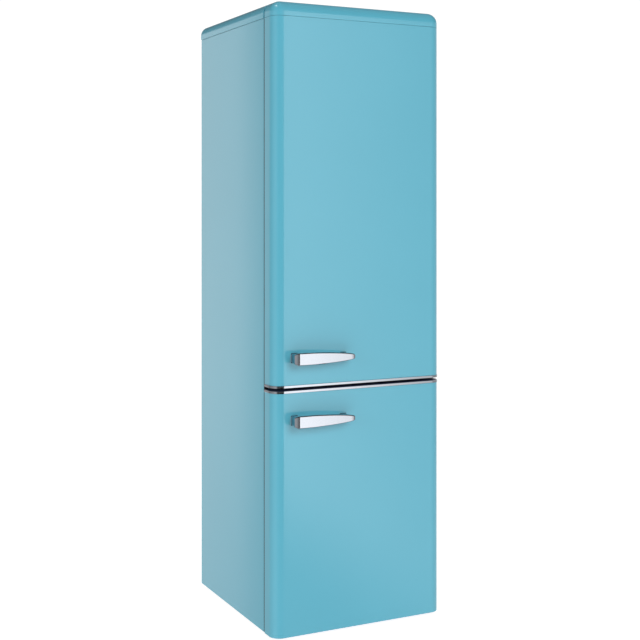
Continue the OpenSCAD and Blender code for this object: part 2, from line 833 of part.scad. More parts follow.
// U-shaped chrome strip round the end of a door.
module door_trim(z0, z1) {
    r = edge_r + trim_proud;
    difference() {
        along_z(z0, z1) difference() {
            union() {
                rect(-half_w - trim_proud, door_front - trim_proud + r,
                     half_w + trim_proud, door_rear - 3);
                rect(-half_w - trim_proud + r, door_front - trim_proud,
                     half_w + trim_proud - r, door_rear - 3);
                for (s = [-1, 1])
                    translate([s * (half_w + trim_proud - r), door_front - trim_proud + r])
                        circle(r);
            }
            door_plan(1);
        }
        block([-half_w + 2, door_rear - 6, z0 - 1], [half_w - 2, door_rear + 1, z1 + 1]);
    }
}

// Rounded top of the fridge door, between two heights, set in by inset on the three round sides.
module door_crown(z0, inset, rr) {
    r = edge_r - inset;
    z1 = overall_h - inset;
    w = half_w - inset;
    y0 = door_front + inset;
    intersection() {
        along_z(z0, z1) door_plan(inset, rr);
        along_y(y0 - 1, door_rear + 1) union() {
            rect(-w, z0, w, z1 - r);
            rect(-w + r, z0, w - r, z1);
            for (s = [-1, 1]) translate([s * (w - r), z1 - r]) circle(r);
        }
        along_x(-w - 1, w + 1) union() {
            rect(y0, z0, door_rear + 1, z1 - r);
            rect(y0 + r, z0, door_rear + 1, z1);
            translate([y0 + r, z1 - r]) circle(r);
        }
    }
}

cap_wall = 3;

// Painted end cap over the fridge door, with the boss for the upper hinge pin. The slot in its
// lower rear corner lets the hinge arm pass as the door swings.
module fridge_door_top_cap() color(paint) from_front() difference() {
    union() {
        difference() {
            door_crown(top_z + seam, 0, 10);
            intersection() {
                door_crown(top_z, cap_wall, 9);
                block([-300, -300, top_z], [300, door_rear - cap_wall, overall_h]);
            }
        }
        along_z(top_z - insert_t, top_z + seam) difference() {
            door_plan(sheet + 0.1);
            rect(-300, door_rear - 2, 300, 10);
        }
        translate([hinge_x, hinge_y, 0]) rod_z(boss_r, top_z - 26, top_z - 1);
    }
    translate([hinge_x, hinge_y, 0]) {
        rod_z(bore_r, top_z - 30, top_z + 5);
        along_z(top_z + seam, top_z + 5.5) union() {
            circle(13.5);
            rect(-13.5, 0, 40, 40);
            rotate(-40) rect(0, -13.5, 40, 13.5);
        }
    }
}

// A flat end cap inside a chrome trim. up is 1 where the boss points up into the door.
module flat_cap(z0, z1, up) {
    z_in = up > 0 ? z1 : z0 - insert_t;
    z_boss = up > 0 ? z1 + insert_t : z0 - insert_t - 18;
    difference() {
        union() {
            along_z(z0, z1) door_plan(1);
            along_z(z_in, z_in + insert_t) difference() {
                door_plan(sheet + 0.1);
                rect(-300, door_rear - 2, 300, 10);
            }
            translate([hinge_x, hinge_y, 0]) rod_z(boss_r, z_boss, z_boss + 18);
        }
        translate([hinge_x, hinge_y, 0])
            rod_z(bore_r, min(z0, z_boss) - 1, max(z1, z_boss + 18) + 1);
    }
}

module fridge_door_bottom_cap() color(black) from_front()
    flat_cap(fridge_door_z0, fridge_door_z0 + trim_h, 1);

module freezer_door_end_caps() color(black) from_front() {
    flat_cap(freezer_door_z1 - trim_h, freezer_door_z1, -1);
    difference() {
        union() {
            along_z(foot_h, foot_h + cap_plate) door_plan(0.3);
            along_z(foot_h + cap_plate, foot_h + cap_plate + insert_t) difference() {
                door_plan(sheet + 0.1);
                rect(-300, door_rear - 2, 300, 10);
            }
            translate([hinge_x, hinge_y, 0]) rod_z(boss_r, foot_h, foot_h + 26);
        }
        translate([hinge_x, hinge_y, 0]) rod_z(bore_r, foot_h - 1, foot_h + 40);
    }
}

module fridge_door_trim() color(chrome) from_front()
    door_trim(fridge_door_z0, fridge_door_z0 + trim_h);
module freezer_door_trim() color(chrome) from_front()
    door_trim(freezer_door_z1 - trim_h, freezer_door_z1);

fridge_skin_z = [fridge_door_z0 + trim_h, top_z];
freezer_skin_z = [foot_h + cap_plate, freezer_door_z1 - trim_h];

module fridge_door_skin() color(paint) from_front()
    door_skin(fridge_skin_z[0], fridge_skin_z[1]);

module freezer_door_skin() color(paint) from_front()
    door_skin(freezer_skin_z[0], freezer_skin_z[1]);

// Foam inside a door, between the skin and the liner; it also fills the liner's raised parts.
module door_foam(z0, z1) {
    along_z(z0 + insert_t, z1 - insert_t) intersection() {
        door_plan(sheet);
        rect(-300, door_front - 1, 300, door_rear - liner_t);
    }
}

dike_out = 205;
dike_in = 180;
dike_y = 30;
dike_z0 = 770;
dike_z1 = 1716;

// Raised ring on the fridge door's liner; set is how far its faces are drawn in.
module dikes(set) {
    difference() {
        along_y(door_rear - liner_t, dike_y - set)
            round_rect(-dike_out + set, dike_z0 + set, dike_out - set, dike_z1 - set, 16);
        along_y(door_rear - liner_t - 1, dike_y + 1)
            round_rect(-dike_in - set, dike_z0 + 25 - set, dike_in + set, dike_z1 - 25 + set, 10);
    }
}

module fridge_door_foam() color("khaki") from_front() difference() {
    union() {
        door_foam(fridge_skin_z[0], fridge_skin_z[1]);
        dikes(liner_t);
    }
    translate([hinge_x, hinge_y, 0]) rod_z(boss_r, 700, fridge_skin_z[0] + insert_t + 18);
    translate([hinge_x, hinge_y, 0]) rod_z(boss_r, top_z - 26, top_z);
}

bin_z = [1020, 1230];
dairy_z = 1480;
bottle_z = 805;
lug_z = 26;
hook_t = 5;
lid_axis_y = 0;
lid_axis_z = dairy_z + 116;

// Vacuum-formed inner panel of the fridge door with the lugs that carry the bins.
module fridge_door_liner() color(white) from_front() difference() {
    union() {
        block([-half_w + 12.2, door_rear - liner_t, fridge_skin_z[0] + insert_t],
              [half_w - 12.2, door_rear, top_z - insert_t]);
        difference() {
            dikes(0);
            dikes(liner_t);
        }
        for (z = concat(bin_z, [dairy_z, bottle_z]), s = [-1, 1]) mirror([s < 0 ? 1 : 0, 0, 0])
            block([dike_in - 4, 2, z + lug_z], [dike_in + 1, 20, z + lug_z + 8]);
    }
    // keep the raised ring open to the foam behind it
    intersection() {
        dikes(liner_t);
        block([-300, -30, 0], [300, dike_y, 2000]);
    }
    translate([0, lid_axis_y, lid_axis_z]) rod_x(3.06, -dike_in - 3, dike_in + 3);
}

// Plug on the freezer door's liner; set is how far its faces are drawn in.
module plug(set) {
    along_y(door_rear - liner_t, 8 - set)
        round_rect(-190 + set, 108 + set, 190 - set, 655 - set, 18);
}

module freezer_door_foam() color("khaki") from_front() difference() {
    union() {
        door_foam(freezer_skin_z[0], freezer_skin_z[1]);
        plug(liner_t);
    }
    translate([hinge_x, hinge_y, 0]) rod_z(boss_r, 0, foot_h + 26);
    translate([hinge_x, hinge_y, 0]) rod_z(boss_r, freezer_skin_z[1] - 21, 800);
}

module freezer_door_liner() color(white) from_front() {
    difference() {
        union() {
            block([-half_w + 12.2, door_rear - liner_t, freezer_skin_z[0] + insert_t],
                  [half_w - 12.2, door_rear, freezer_skin_z[1] - insert_t]);
            plug(0);
        }
        plug(liner_t);
    }
    for (z = [200 : 90 : 560]) // stiffening beads pressed into the panel
        along_y(7, 9.5) {
            rect(-150, z - 5, 150, z + 5);
            for (x = [-150, 150]) translate([x, z]) circle(5);
        }
}

seal_w = 16;
seal_out = 254;

// Magnetic seal: a ring with a foot in the liner, a bellows and a flat magnet strip.
module door_seal(z0, z1) {
    module ring(half, low, high, w, y0, y1) {
        along_y(y0, y1) difference() {
            round_rect(-half, low, half, high, 5);
            rect(-half + w, low + w, half - w, high - w);
        }
    }
    ring(seal_out, z0, z1, seal_w, -3.3, -0.3);
    ring(seal_out - 4, z0 + 4, z1 - 4, seal_w - 8, -5.5, -3.3);
    ring(seal_out - 1, z0 + 1, z1 - 1, seal_w - 2, door_rear, -5.5);
}

module fridge_door_gasket() color("gray") from_front()
    door_seal(mullion_z1 - seal_w - 3, fridge_z1 + lip_gap + seal_w + 3);
module freezer_door_gasket() color("gray") from_front()
    door_seal(freezer_z0 - lip_gap - seal_w - 3, mullion_z0 + seal_w + 3);

// Tapered handle: a wedge with its wide end on the left, on a neck at each end. Its origin is
// on the door's face at the left end.
module handle() {
    l = handle_l;
    reach = handle_reach;
    bar = 11;
    neck = 13.5; // half the height of the wide end's chamfered side
    wide = handle_wide / 2;
    narrow = handle_narrow / 2;
    intersection() {
        along_z(-50, 50) difference() {
            polygon([[5, 0], [5, -22], [0, -29], [1, -reach + 7], [10, -reach],
                     [l - 18, -reach], [l - 4, -reach + 5], [l, -reach + 13],
                     [l - 6, -reach + 20], [l - 10, 0]]);
            polygon([[25, 1], [27, -21], [34, -reach + bar], [l - 44, -reach + bar],
                     [l - 32, -reach + bar + 6], [l - 28, 1]]);
        }
        along_y(-reach - 1, 1) union() {
            polygon([[0, -neck], [6, -neck], [11, -wide], [l - narrow, -narrow],
                     [l - narrow, narrow], [11, wide], [6, neck], [0, neck]]);
            translate([l - narrow, 0]) circle(narrow);
        }
    }
}

handle_x = -226;

module fridge_handle() color(chrome) from_front()
    translate([handle_x, door_front, split_z + upper_handle_rise]) handle();
module freezer_handle() color(chrome) from_front()
    translate([handle_x, door_front, split_z - lower_handle_drop]) handle();

bin_x = 175;
bin_y0 = -5;
bin_y1 = 95;

// Door bin: a tub with hooks at both ends that rest on the liner's lugs.
module bin(z0, h, front_h) {
    t = 2.4;
    difference() {
        along_z(z0, z0 + h) round_rect(-bin_x, bin_y0, bin_x, bin_y1, 12);
        along_z(z0 + t, z0 + h + 1)
            round_rect(-bin_x + t, bin_y0 + t, bin_x - t, bin_y1 - t, 12 - t);
        if (front_h < h) // lower front wall
            block([-bin_x - 1, bin_y0 + 30, z0 + front_h], [bin_x + 1, bin_y1 + 1, z0 + h + 1]);
    }
    for (s = [-1, 1]) mirror([s < 0 ? 1 : 0, 0, 0])
        block([bin_x - 1, 4, z0 + lug_z + 8], [dike_in - 0.6, 18, z0 + lug_z + 8 + hook_t]);
}

module dairy_bin() color("azure") from_front() bin(dairy_z, 66, 66);
module door_bins() color("azure") from_front() for (z = bin_z) bin(z, 80, 66);
module bottle_bin() color("azure") from_front() bin(bottle_z, 118, 96);

// Hinged cover over the top bin.
module dairy_lid() color("lightcyan") from_front() {
    t = 2.2;
    low = dairy_z + 66.6;
    top = lid_axis_z + 2;
    difference() {
        along_x(-174, 174) difference() {
            union() {
                rect(lid_axis_y, low, 78, top);
                rect(lid_axis_y, low, 98, top - 20);
                translate([78, top - 20]) circle(20);
            }
            union() {
                rect(-10, low - 1, 78, top - t);
                rect(-10, low - 1, 98 - t, top - 20);
                translate([78, top - 20]) circle(20 - t);
            }
        }
    }
    for (s = [-1, 1]) mirror([s < 0 ? 1 : 0, 0, 0]) // end walls
        along_x(172, 174) difference() {
            union() {
                rect(10, low + 10, 78, top - 1);
                rect(10, low + 10, 97, top - 20);
                translate([78, top - 20]) circle(19);
            }
            translate([10, low + 10]) circle(20);
        }
    difference() {
        translate([0, lid_axis_y, lid_axis_z]) rod_x(3.4, -174, 174);
        block([-170, -20, low - 10], [170, -0.5, lid_axis_z - 0.5]);
    }
    for (s = [-1, 1]) mirror([s < 0 ? 1 : 0, 0, 0])
        translate([0, lid_axis_y, lid_axis_z]) rod_x(3, 173, dike_in + 1.8);
}

// ---------------------------------------------------------------- nodes

left_side_panel();
right_side_panel();
top_panel();
top_cap();
back_panel();
base_plate();
front_rails();
cabinet_foam();
fridge_liner();
freezer_liner();
fridge_evaporator();
freezer_evaporator();
drain_tube();
compressor_tray();
compressor();
compressor_grommets();
relay_box();
evaporating_tray();
condenser_coil();
condenser_wires();
refrigerant_pipes();
mains_inlet();
top_hinge();
middle_hinge();
bottom_hinge();
hinge_screws();
control_box();
lamp_lens();
shelf_glass();
shelf_trims();
thermostat_knob();
light_switch_plunger();
left_foot();
right_foot();
left_roller();
right_roller();
left_crisper();
right_crisper();
top_freezer_drawer();
middle_freezer_drawer();
bottom_freezer_drawer();
fridge_door_skin();
fridge_door_top_cap();
fridge_door_bottom_cap();
fridge_door_trim();
fridge_door_foam();
fridge_door_liner();
fridge_door_gasket();
fridge_handle();
dairy_bin();
dairy_lid();
door_bins();
bottle_bin();
freezer_door_skin();
freezer_door_end_caps();
freezer_door_trim();
freezer_door_foam();
freezer_door_liner();
freezer_door_gasket();
freezer_handle();
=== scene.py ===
"""Looks of a tall fridge-freezer in gloss turquoise with chrome handles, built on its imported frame."""
from math import cos, pi, radians, sin, sqrt, tan, tau

import bmesh
import bpy
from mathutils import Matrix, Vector


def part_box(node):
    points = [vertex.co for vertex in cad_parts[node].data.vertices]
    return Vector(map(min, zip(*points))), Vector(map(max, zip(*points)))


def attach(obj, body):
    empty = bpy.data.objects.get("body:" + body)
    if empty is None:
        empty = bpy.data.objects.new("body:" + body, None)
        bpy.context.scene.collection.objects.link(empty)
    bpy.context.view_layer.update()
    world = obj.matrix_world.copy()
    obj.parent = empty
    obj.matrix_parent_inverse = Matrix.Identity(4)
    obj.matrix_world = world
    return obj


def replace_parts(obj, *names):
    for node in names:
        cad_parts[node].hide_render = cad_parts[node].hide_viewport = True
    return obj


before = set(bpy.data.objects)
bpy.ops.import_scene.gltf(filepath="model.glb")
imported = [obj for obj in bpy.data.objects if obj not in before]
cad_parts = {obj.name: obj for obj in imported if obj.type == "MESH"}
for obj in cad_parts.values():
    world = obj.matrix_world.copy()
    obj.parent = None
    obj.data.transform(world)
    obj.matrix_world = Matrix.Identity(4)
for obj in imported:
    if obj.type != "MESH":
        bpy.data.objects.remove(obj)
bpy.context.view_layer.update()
scene = bpy.context.scene

# -- camera, floor and studio
# The fridge stands on a pale floor in a white room. Wide soft lights fill it from the front, the
# left and above, and a small one glints on its top corner.


def linear(hex_colour):
    """An sRGB hex colour, such as "#70b7cd", as the linear values that a shader takes."""
    parts = [int(hex_colour[i:i + 2], 16) / 255 for i in (1, 3, 5)]
    return [p / 12.92 if p <= 0.04045 else ((p + 0.055) / 1.055) ** 2.4 for p in parts] + [1.0]


def add(tree, kind, links=None, **settings):
    """Adds a ShaderNode of a kind. settings are its inputs or properties, links its {input: output}."""
    made = tree.nodes.new("ShaderNode" + kind)
    for key, value in settings.items():
        name = key.replace("_", " ")
        socket = next((s for s in made.inputs if s.name.lower() == name and s.enabled), None)
        if socket:
            socket.default_value = value
        elif hasattr(made, key):
            setattr(made, key, value)
        else:
            raise KeyError(f"{kind} has no {key}")
    for socket, source in (links or {}).items():
        tree.links.new(source, made.inputs[socket])
    return made


def shader(name, colour, **settings):
    """A material with one Principled shader. Returns the material, its nodes and the shader."""
    material = bpy.data.materials.new(name)
    material.use_nodes = True
    tree = material.node_tree
    tree.nodes.clear()
    surface = add(tree, "BsdfPrincipled", base_color=linear(colour), **settings)
    add(tree, "OutputMaterial", {"Surface": surface.outputs["BSDF"]})
    material.diffuse_color = linear(colour)
    return material, tree, surface


camera = bpy.data.objects.new("camera", bpy.data.cameras.new("camera"))
scene.collection.objects.link(camera)
camera.location = (-1.647, -3.317, 1.222)
camera.rotation_euler = (radians(90), 0, radians(-26.43))
camera.data.sensor_width = 36
camera.data.lens = 67.2
camera.data.shift_y = -0.1735
scene.camera = camera
scene.view_settings.view_transform = "Standard"

# The floor is a light table: matt white acrylic, lit a little from below, with a fine stipple. It
# is left out of reflections, so the doors mirror the room and not the floor.
floor_paint, tree, surface = shader("matt_white_acrylic", "#b5b5b5", roughness=0.8,
    emission_color=(1, 1, 1, 1), emission_strength=0.93)
stipple = add(tree, "TexNoise", scale=1000.0, detail=2.0)
bump = add(tree, "Bump", {"Height": stipple.outputs["Fac"]}, strength=0.03, distance=0.0005)
tree.links.new(bump.outputs["Normal"], surface.inputs["Normal"])
floor_mesh = bpy.data.meshes.new("studio_floor")
floor_half = 2.6
floor_corners = [(x * floor_half, y * floor_half, 0) for x, y in ((-1, -1), (1, -1), (1, 1), (-1, 1))]
floor_mesh.from_pydata(floor_corners, [], [(0, 1, 2, 3)])
floor_mesh.materials.append(floor_paint)
floor = bpy.data.objects.new("studio_floor", floor_mesh)
scene.collection.objects.link(floor)
floor.visible_glossy = False

# The room behind the fridge is white and its ceiling is dim. A soft wall stands to the left, and a
# white screen in front, a little to the right, is what the doors and the chrome mirror.
world = bpy.data.worlds.new("studio")
scene.world = world
world.use_nodes = True
tree = world.node_tree
tree.nodes.clear()
way = add(tree, "TexCoord")
split = add(tree, "SeparateXYZ", {"Vector": way.outputs["Generated"]})
right, back, up = split.outputs
ahead = add(tree, "Math", {0: back}, operation="MULTIPLY")
ahead.inputs[1].default_value = -1
turn = add(tree, "Math", {0: right, 1: ahead.outputs["Value"]}, operation="ARCTAN2")
round_room = add(tree, "MapRange", {"Value": turn.outputs["Value"]}, from_min=-pi, from_max=pi)
walls = add(tree, "ValToRGB", {"Fac": round_room.outputs["Result"]})
brightness = [  # degrees to the right of straight ahead of the fridge, and how bright it is there
    (-180, 1.0), (-156.5, 1.0), (-156.15, 0.42), (-100, 0.7), (-66, 1.1), (-53, 1.0), (-42, 0.14),
    (22, 0.14), (24.3, 2.1), (28, 1.5), (31.8, 0.8), (45, 0.42), (100, 0.5), (125, 1.0), (180, 1.0)]
while len(walls.color_ramp.elements) < len(brightness):
    walls.color_ramp.elements.new(1.0)
for stop, (degrees, bright) in zip(walls.color_ramp.elements, brightness):
    stop.position = degrees / 360 + 0.5
    stop.color = (bright, bright, bright, 1)
# It dims with height, and low down to the left and in front, each between two limits.
room = walls.outputs["Color"]
for other, low, high, at_low, at_high in (
        (None, 0.18, 0.31, 1.05, 0.1), (right, -0.75, -0.45, 0.55, 1.0),
        (back, -1.17, -1.09, 0.1, 1.0)):
    reach = up
    if other:
        reach = add(tree, "Math", {0: other, 1: up}, operation="ADD").outputs["Value"]
    fade = add(tree, "MapRange", {"Value": reach}, from_min=low, from_max=high,
        to_min=at_low, to_max=at_high, interpolation_type="SMOOTHSTEP")
    room = add(tree, "Math", {0: room, 1: fade.outputs["Result"]},
        operation="MULTIPLY").outputs["Value"]
sky = add(tree, "Background", {"Strength": room}, color=(1, 1, 1, 1))
add(tree, "OutputWorld", {"Surface": sky.outputs["Background"]})


def soft_light(name, place, target, width, tall, power, mirrored=False):
    """A soft box. One that isn't mirrored lights the paint, but gives no highlight."""
    lamp = bpy.data.lights.new(name, "AREA")
    lamp.shape = "RECTANGLE"
    lamp.size, lamp.size_y, lamp.energy = width, tall, power
    light = bpy.data.objects.new(name, lamp)
    light.location = place
    light.rotation_euler = (Vector(target) - Vector(place)).to_track_quat("-Z", "Y").to_euler()
    light.visible_glossy = mirrored
    scene.collection.objects.link(light)


soft_light("front_fill", (0.4, -4.2, 2.6), (0, 0, 1.2), 2.6, 2.2, 108)
soft_light("left_fill", (-4.0, -1.2, 1.6), (0, 0, 0.9), 2.4, 2.4, 54)
soft_light("floor_fill", (0.4, 0.5, 4.2), (0, 0, 0), 4.0, 4.0, 45)
soft_light("corner_spark", (-1.7, -0.31, 4.4), (-0.26, -0.25, 1.8), 0.8, 0.8, 12, mirrored=True)

# -- cabinet shell
# Each side is one sheet of 0.8 mm steel, folded inwards at the front to give the seals a face and
# at the rear to stiffen the edge, and then powder-coated gloss turquoise.

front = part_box("front_rails")[0][1]  # the plane that both doors close on


def at(x, y, z):
    """A place given in millimetres, with y counted back from the cabinet's front plane."""
    return (x / 1000, y / 1000 + front, z / 1000)


def rounded(corners, radii, steps=8):
    """The points of a flat outline whose corners are rounded, each with its own radius."""
    outline = []
    for i, here in enumerate(corners):
        p, a, b = Vector(here), Vector(corners[i - 1]), Vector(corners[(i + 1) % len(corners)])
        r = radii[i] if isinstance(radii, (list, tuple)) else radii
        if r < 0.01:
            outline.append(tuple(p))
            continue
        u, v = (a - p).normalized(), (b - p).normalized()
        half = u.angle(v) / 2
        centre = p + (u + v).normalized() * (r / sin(half))
        start, end = p + u * (r / tan(half)) - centre, p + v * (r / tan(half)) - centre
        turn = start.angle_signed(end)
        for k in range(steps + 1):
            angle = -turn * k / steps
            c, s = cos(angle), sin(angle)
            outline.append((centre.x + start.x * c - start.y * s, centre.y + start.x * s + start.y * c))
    return outline


def piece(name, body, material, crease=35):
    """An empty mesh object that rides on a body, for loft() to fill."""
    made = bpy.data.objects.new(name, bpy.data.meshes.new(name))
    made.data.materials.append(material)
    scene.collection.objects.link(made)
    made["crease"] = crease
    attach(made, body)
    return made


def loft(made, rings, closed=False):
    """Skins a list of rings of points, in millimetres. Its ends are flat faces, or meet if closed."""
    work = bmesh.new()
    work.from_mesh(made.data)
    rows = [[work.verts.new(at(*point)) for point in ring] for ring in rings]
    pairs = list(zip(rows, rows[1:])) + ([(rows[-1], rows[0])] if closed else [])
    for low, high in pairs:
        for i in range(len(low)):
            j = (i + 1) % len(low)
            work.faces.new((low[i], low[j], high[j], high[i]))
    if not closed:
        work.faces.new(list(reversed(rows[0])))
        work.faces.new(rows[-1])
    bmesh.ops.recalc_face_normals(work, faces=work.faces)
    work.to_mesh(made.data)
    work.free()
    return made


def shade(made):
    """Smooth shading, creased at real edges and kept flat on flat faces."""
    made.data.shade_smooth()
    made.data.set_sharp_from_angle(angle=radians(made["crease"]))
    weigh = made.modifiers.new("flat faces", "WEIGHTED_NORMAL")
    weigh.keep_sharp = True
    return made


def level(outline, z):
    return [(x, y, z) for x, y in outline]


def upright(outline, y):
    return [(x, y, z) for x, z in outline]


def sideways(outline, x):
    return [(x, y, z) for y, z in outline]


# Powder coat over steel: the colour lies under a clear, very smooth skin, so it has a soft base
# and a sharp reflection. Its faint orange peel has waves 8 mm apart.
enamel, tree, surface = shader("gloss_turquoise_powder_coat", "#5aacc4", roughness=0.42, ior=1.5,
    coat_weight=1.0, coat_roughness=0.04, coat_ior=1.5)
peel_place = add(tree, "TexCoord")
peel = add(tree, "TexNoise", {"Vector": peel_place.outputs["Object"]},
    scale=1000 / 8, detail=1.0, roughness=0.4)
peel_bump = add(tree, "Bump", {"Height": peel.outputs["Fac"]}, strength=0.05, distance=0.0003)
cloud = add(tree, "TexNoise", {"Vector": peel_place.outputs["Object"]}, scale=3.0, detail=2.0)
tint = add(tree, "Mix", {"Factor": cloud.outputs["Fac"]}, data_type="RGBA", blend_type="MIX")
tint.inputs["A"].default_value, tint.inputs["B"].default_value = linear("#56abc1"), linear("#5bb0c6")
tree.links.new(tint.outputs["Result"], surface.inputs["Base Color"])
tree.links.new(peel_bump.outputs["Normal"], surface.inputs["Normal"])
tree.links.new(peel_bump.outputs["Normal"], surface.inputs["Coat Normal"])

side_x, sheet, foot_z, cap_z, rear_y = 273, 0.8, 15, 1766, 500
flange_x, fold_x = 235, 263  # how near the middle the sheets' front and rear folds reach
for name, sign in (("left_side_sheet", -1), ("right_side_sheet", 1)):
    side = piece(name, "cabinet", enamel)
    plan = rounded([(flange_x, 0), (side_x, 0), (side_x, rear_y), (fold_x, rear_y),
        (fold_x, rear_y - sheet), (side_x - sheet, rear_y - sheet),
        (side_x - sheet, sheet), (flange_x, sheet)],
        [0.2, 1.9, 1.9, 0.2, 0.2, 1.1, 1.1, 0.2], steps=4)
    plan = [(sign * x, y) for x, y in plan]
    loft(side, [level(plan, foot_z), level(plan, cap_z)])
    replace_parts(shade(side), name.replace("_sheet", "_panel"))

# -- top cap
# A moulded ABS cover, painted to match, caps the cabinet. Its long edges are rounded to 32 mm, and
# it overhangs the sides by 2 mm, above a thin shadow line.

half_w, top_z, edge_r, seam = 275, 1810, 32, 0.8


def arch(e, bottom):
    """Front outline of the cap, drawn in by e: square feet and two round shoulders."""
    w, top, r = half_w - e, top_z - e, edge_r - e
    return rounded([(-w, bottom), (-w, top), (w, top), (w, bottom)], [1.0, r, r, 1.0], steps=20)


cap = piece("cabinet_cap", "cabinet", enamel)
ends = [(1.6, 0.0), (0.8, 0.25), (0.25, 0.8), (0.0, 1.6)]
rings = [upright(arch(e, cap_z + seam + e), -1.5 + y) for e, y in ends]
rings += [upright(arch(e, cap_z + seam + e), rear_y - y) for e, y in reversed(ends)]
loft(cap, rings)
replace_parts(shade(cap), "top_cap")

# -- painted door skins
# The front and both sides of a door are one steel pressing with 32 mm corners. The sheet is hemmed
# behind, where the inner panel clips in, and its cut edges at the top and bottom are eased.

door_y, door_rear = -73, -7
freezer_low, freezer_high, fridge_low = 15.2, 702, 724  # the skins' ends, the slot lies between


def door_sheet(e):
    """Plan of the pressed sheet, drawn in by e where its edge is eased."""
    w, y, r, back = half_w - e, door_y + e, edge_r - e, door_rear - sheet
    return rounded(
        [(-fold_x, door_rear), (-w, door_rear), (-w, y), (w, y), (w, door_rear), (fold_x, door_rear),
        (fold_x, back), (w - sheet, back), (w - sheet, y + sheet), (-w + sheet, y + sheet),
        (-w + sheet, back), (-fold_x, back)],
        [0.2, 3, r, r, 3, 0.2, 0.2, 2.2, r - sheet, r - sheet, 2.2, 0.2], steps=20)


eased = [(0.25, 0.0), (0.0, 0.4)]
for name, body, low, high in (("fridge_door_sheet", "fridge_door", fridge_low, cap_z),
        ("freezer_door_sheet", "freezer_door", freezer_low, freezer_high)):
    skin = piece(name, body, enamel)
    loft(skin, [level(door_sheet(e), low + z) for e, z in eased]
        + [level(door_sheet(e), high - z) for e, z in reversed(eased)])
    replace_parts(shade(skin), name.replace("_sheet", "_skin"))

# -- crown of the fridge door
# A painted ABS end cap closes the top of the fridge door. It is rounded to 32 mm in front and on
# both sides. The hidden hinge arm's tip sits inside it.


def crown_plan(e):
    w, y, r = half_w - e, door_y + e, max(edge_r - e, 0.4)
    return rounded([(-w, door_rear), (-w, y), (w, y), (w, door_rear)], [3, r, r, 10], steps=20)


def quarter(steps=6):
    """Sines and cosines of a quarter turn."""
    return [(sin(radians(90 * k / steps)), cos(radians(90 * k / steps))) for k in range(steps + 1)]


crown = piece("fridge_door_crown", "fridge_door", enamel)
rings = [level(crown_plan(e), cap_z + 0.5 + z) for e, z in ((0.6, 0), (0.2, 0.2), (0, 0.6))]
rings += [level(crown_plan(edge_r * (1 - c)), top_z - edge_r * (1 - s)) for s, c in quarter(24)]
loft(crown, rings)
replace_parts(shade(crown), "fridge_door_top_cap")

# -- chrome strips
# A chromed ABS strip, 7 mm high, is pressed round the end of each door on both sides of the slot.
# It stands 1.5 mm proud and its face is slightly rounded.

def patterned(made, size, detail=2.0, tones=None, stops=(0, 1), gloss=None, relief=None):
    """Gives a shader grain or patches so many millimetres across, and returns its material. They can
    run between two tones, vary the roughness, and stand out in relief (strength, metres)."""
    material, tree, surface = made
    place = add(tree, "TexCoord")
    grain = add(tree, "TexNoise", {"Vector": place.outputs["Object"]}, scale=1000 / size, detail=detail)
    if tones:
        ramp = add(tree, "ValToRGB", {"Fac": grain.outputs["Fac"]})
        for end, tone, stop in zip(ramp.color_ramp.elements, tones, stops):
            end.color, end.position = linear(tone), stop
        tree.links.new(ramp.outputs["Color"], surface.inputs["Base Color"])
    if gloss:
        low, high = gloss
        spread = add(tree, "MapRange", {"Value": grain.outputs["Fac"]}, to_min=low, to_max=high)
        tree.links.new(spread.outputs["Result"], surface.inputs["Roughness"])
    if relief:
        strength, depth = relief
        bump = add(tree, "Bump", {"Height": grain.outputs["Fac"]}, strength=strength, distance=depth)
        tree.links.new(bump.outputs["Normal"], surface.inputs["Normal"])
    return material


# Bright chrome plate: almost a mirror, a little blue, with polishing haze in patches 3 mm wide.
chrome = patterned(shader("bright_chrome_plate", "#b4b8bf", metallic=1.0, roughness=0.07),
    3, detail=3.0, gloss=(0.05, 0.11))

proud, strip_h = 1.5, 7


def strip_plan(e):
    """Plan of a strip whose outer face is drawn in by e. Its inner face sinks into the skin."""
    w, y, r = half_w + proud - e, door_y - proud + e, edge_r + proud - e
    in_x, in_y, back = half_w - 1.4, door_y + 1.4, door_rear - 3
    return rounded([(-w, back), (-w, y), (w, y), (w, back), (in_x, back), (in_x, in_y), (-in_x, in_y),
        (-in_x, back)], [0.3, r, r, 0.3, 0.2, 30.6, 30.6, 0.2], steps=20)


for name, body, low in (("fridge_door_strip", "fridge_door", fridge_low - strip_h),
        ("freezer_door_strip", "freezer_door", freezer_high)):
    strip = piece(name, body, chrome)
    bow = [(0.7, 0.0), (0.2, 0.2), (0.0, 0.7), (0.0, 6.3), (0.2, 6.8), (0.7, strip_h)]
    loft(strip, [level(strip_plan(e), low + z) for e, z in bow])
    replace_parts(shade(strip), name.replace("_strip", "_trim"))

# -- handles
# Each handle is a chromed zinc casting. Its flat face is 35 mm high at the chamfered left end and
# closes to a round tip like a bullet. A neck at each end is screwed to the door from inside.

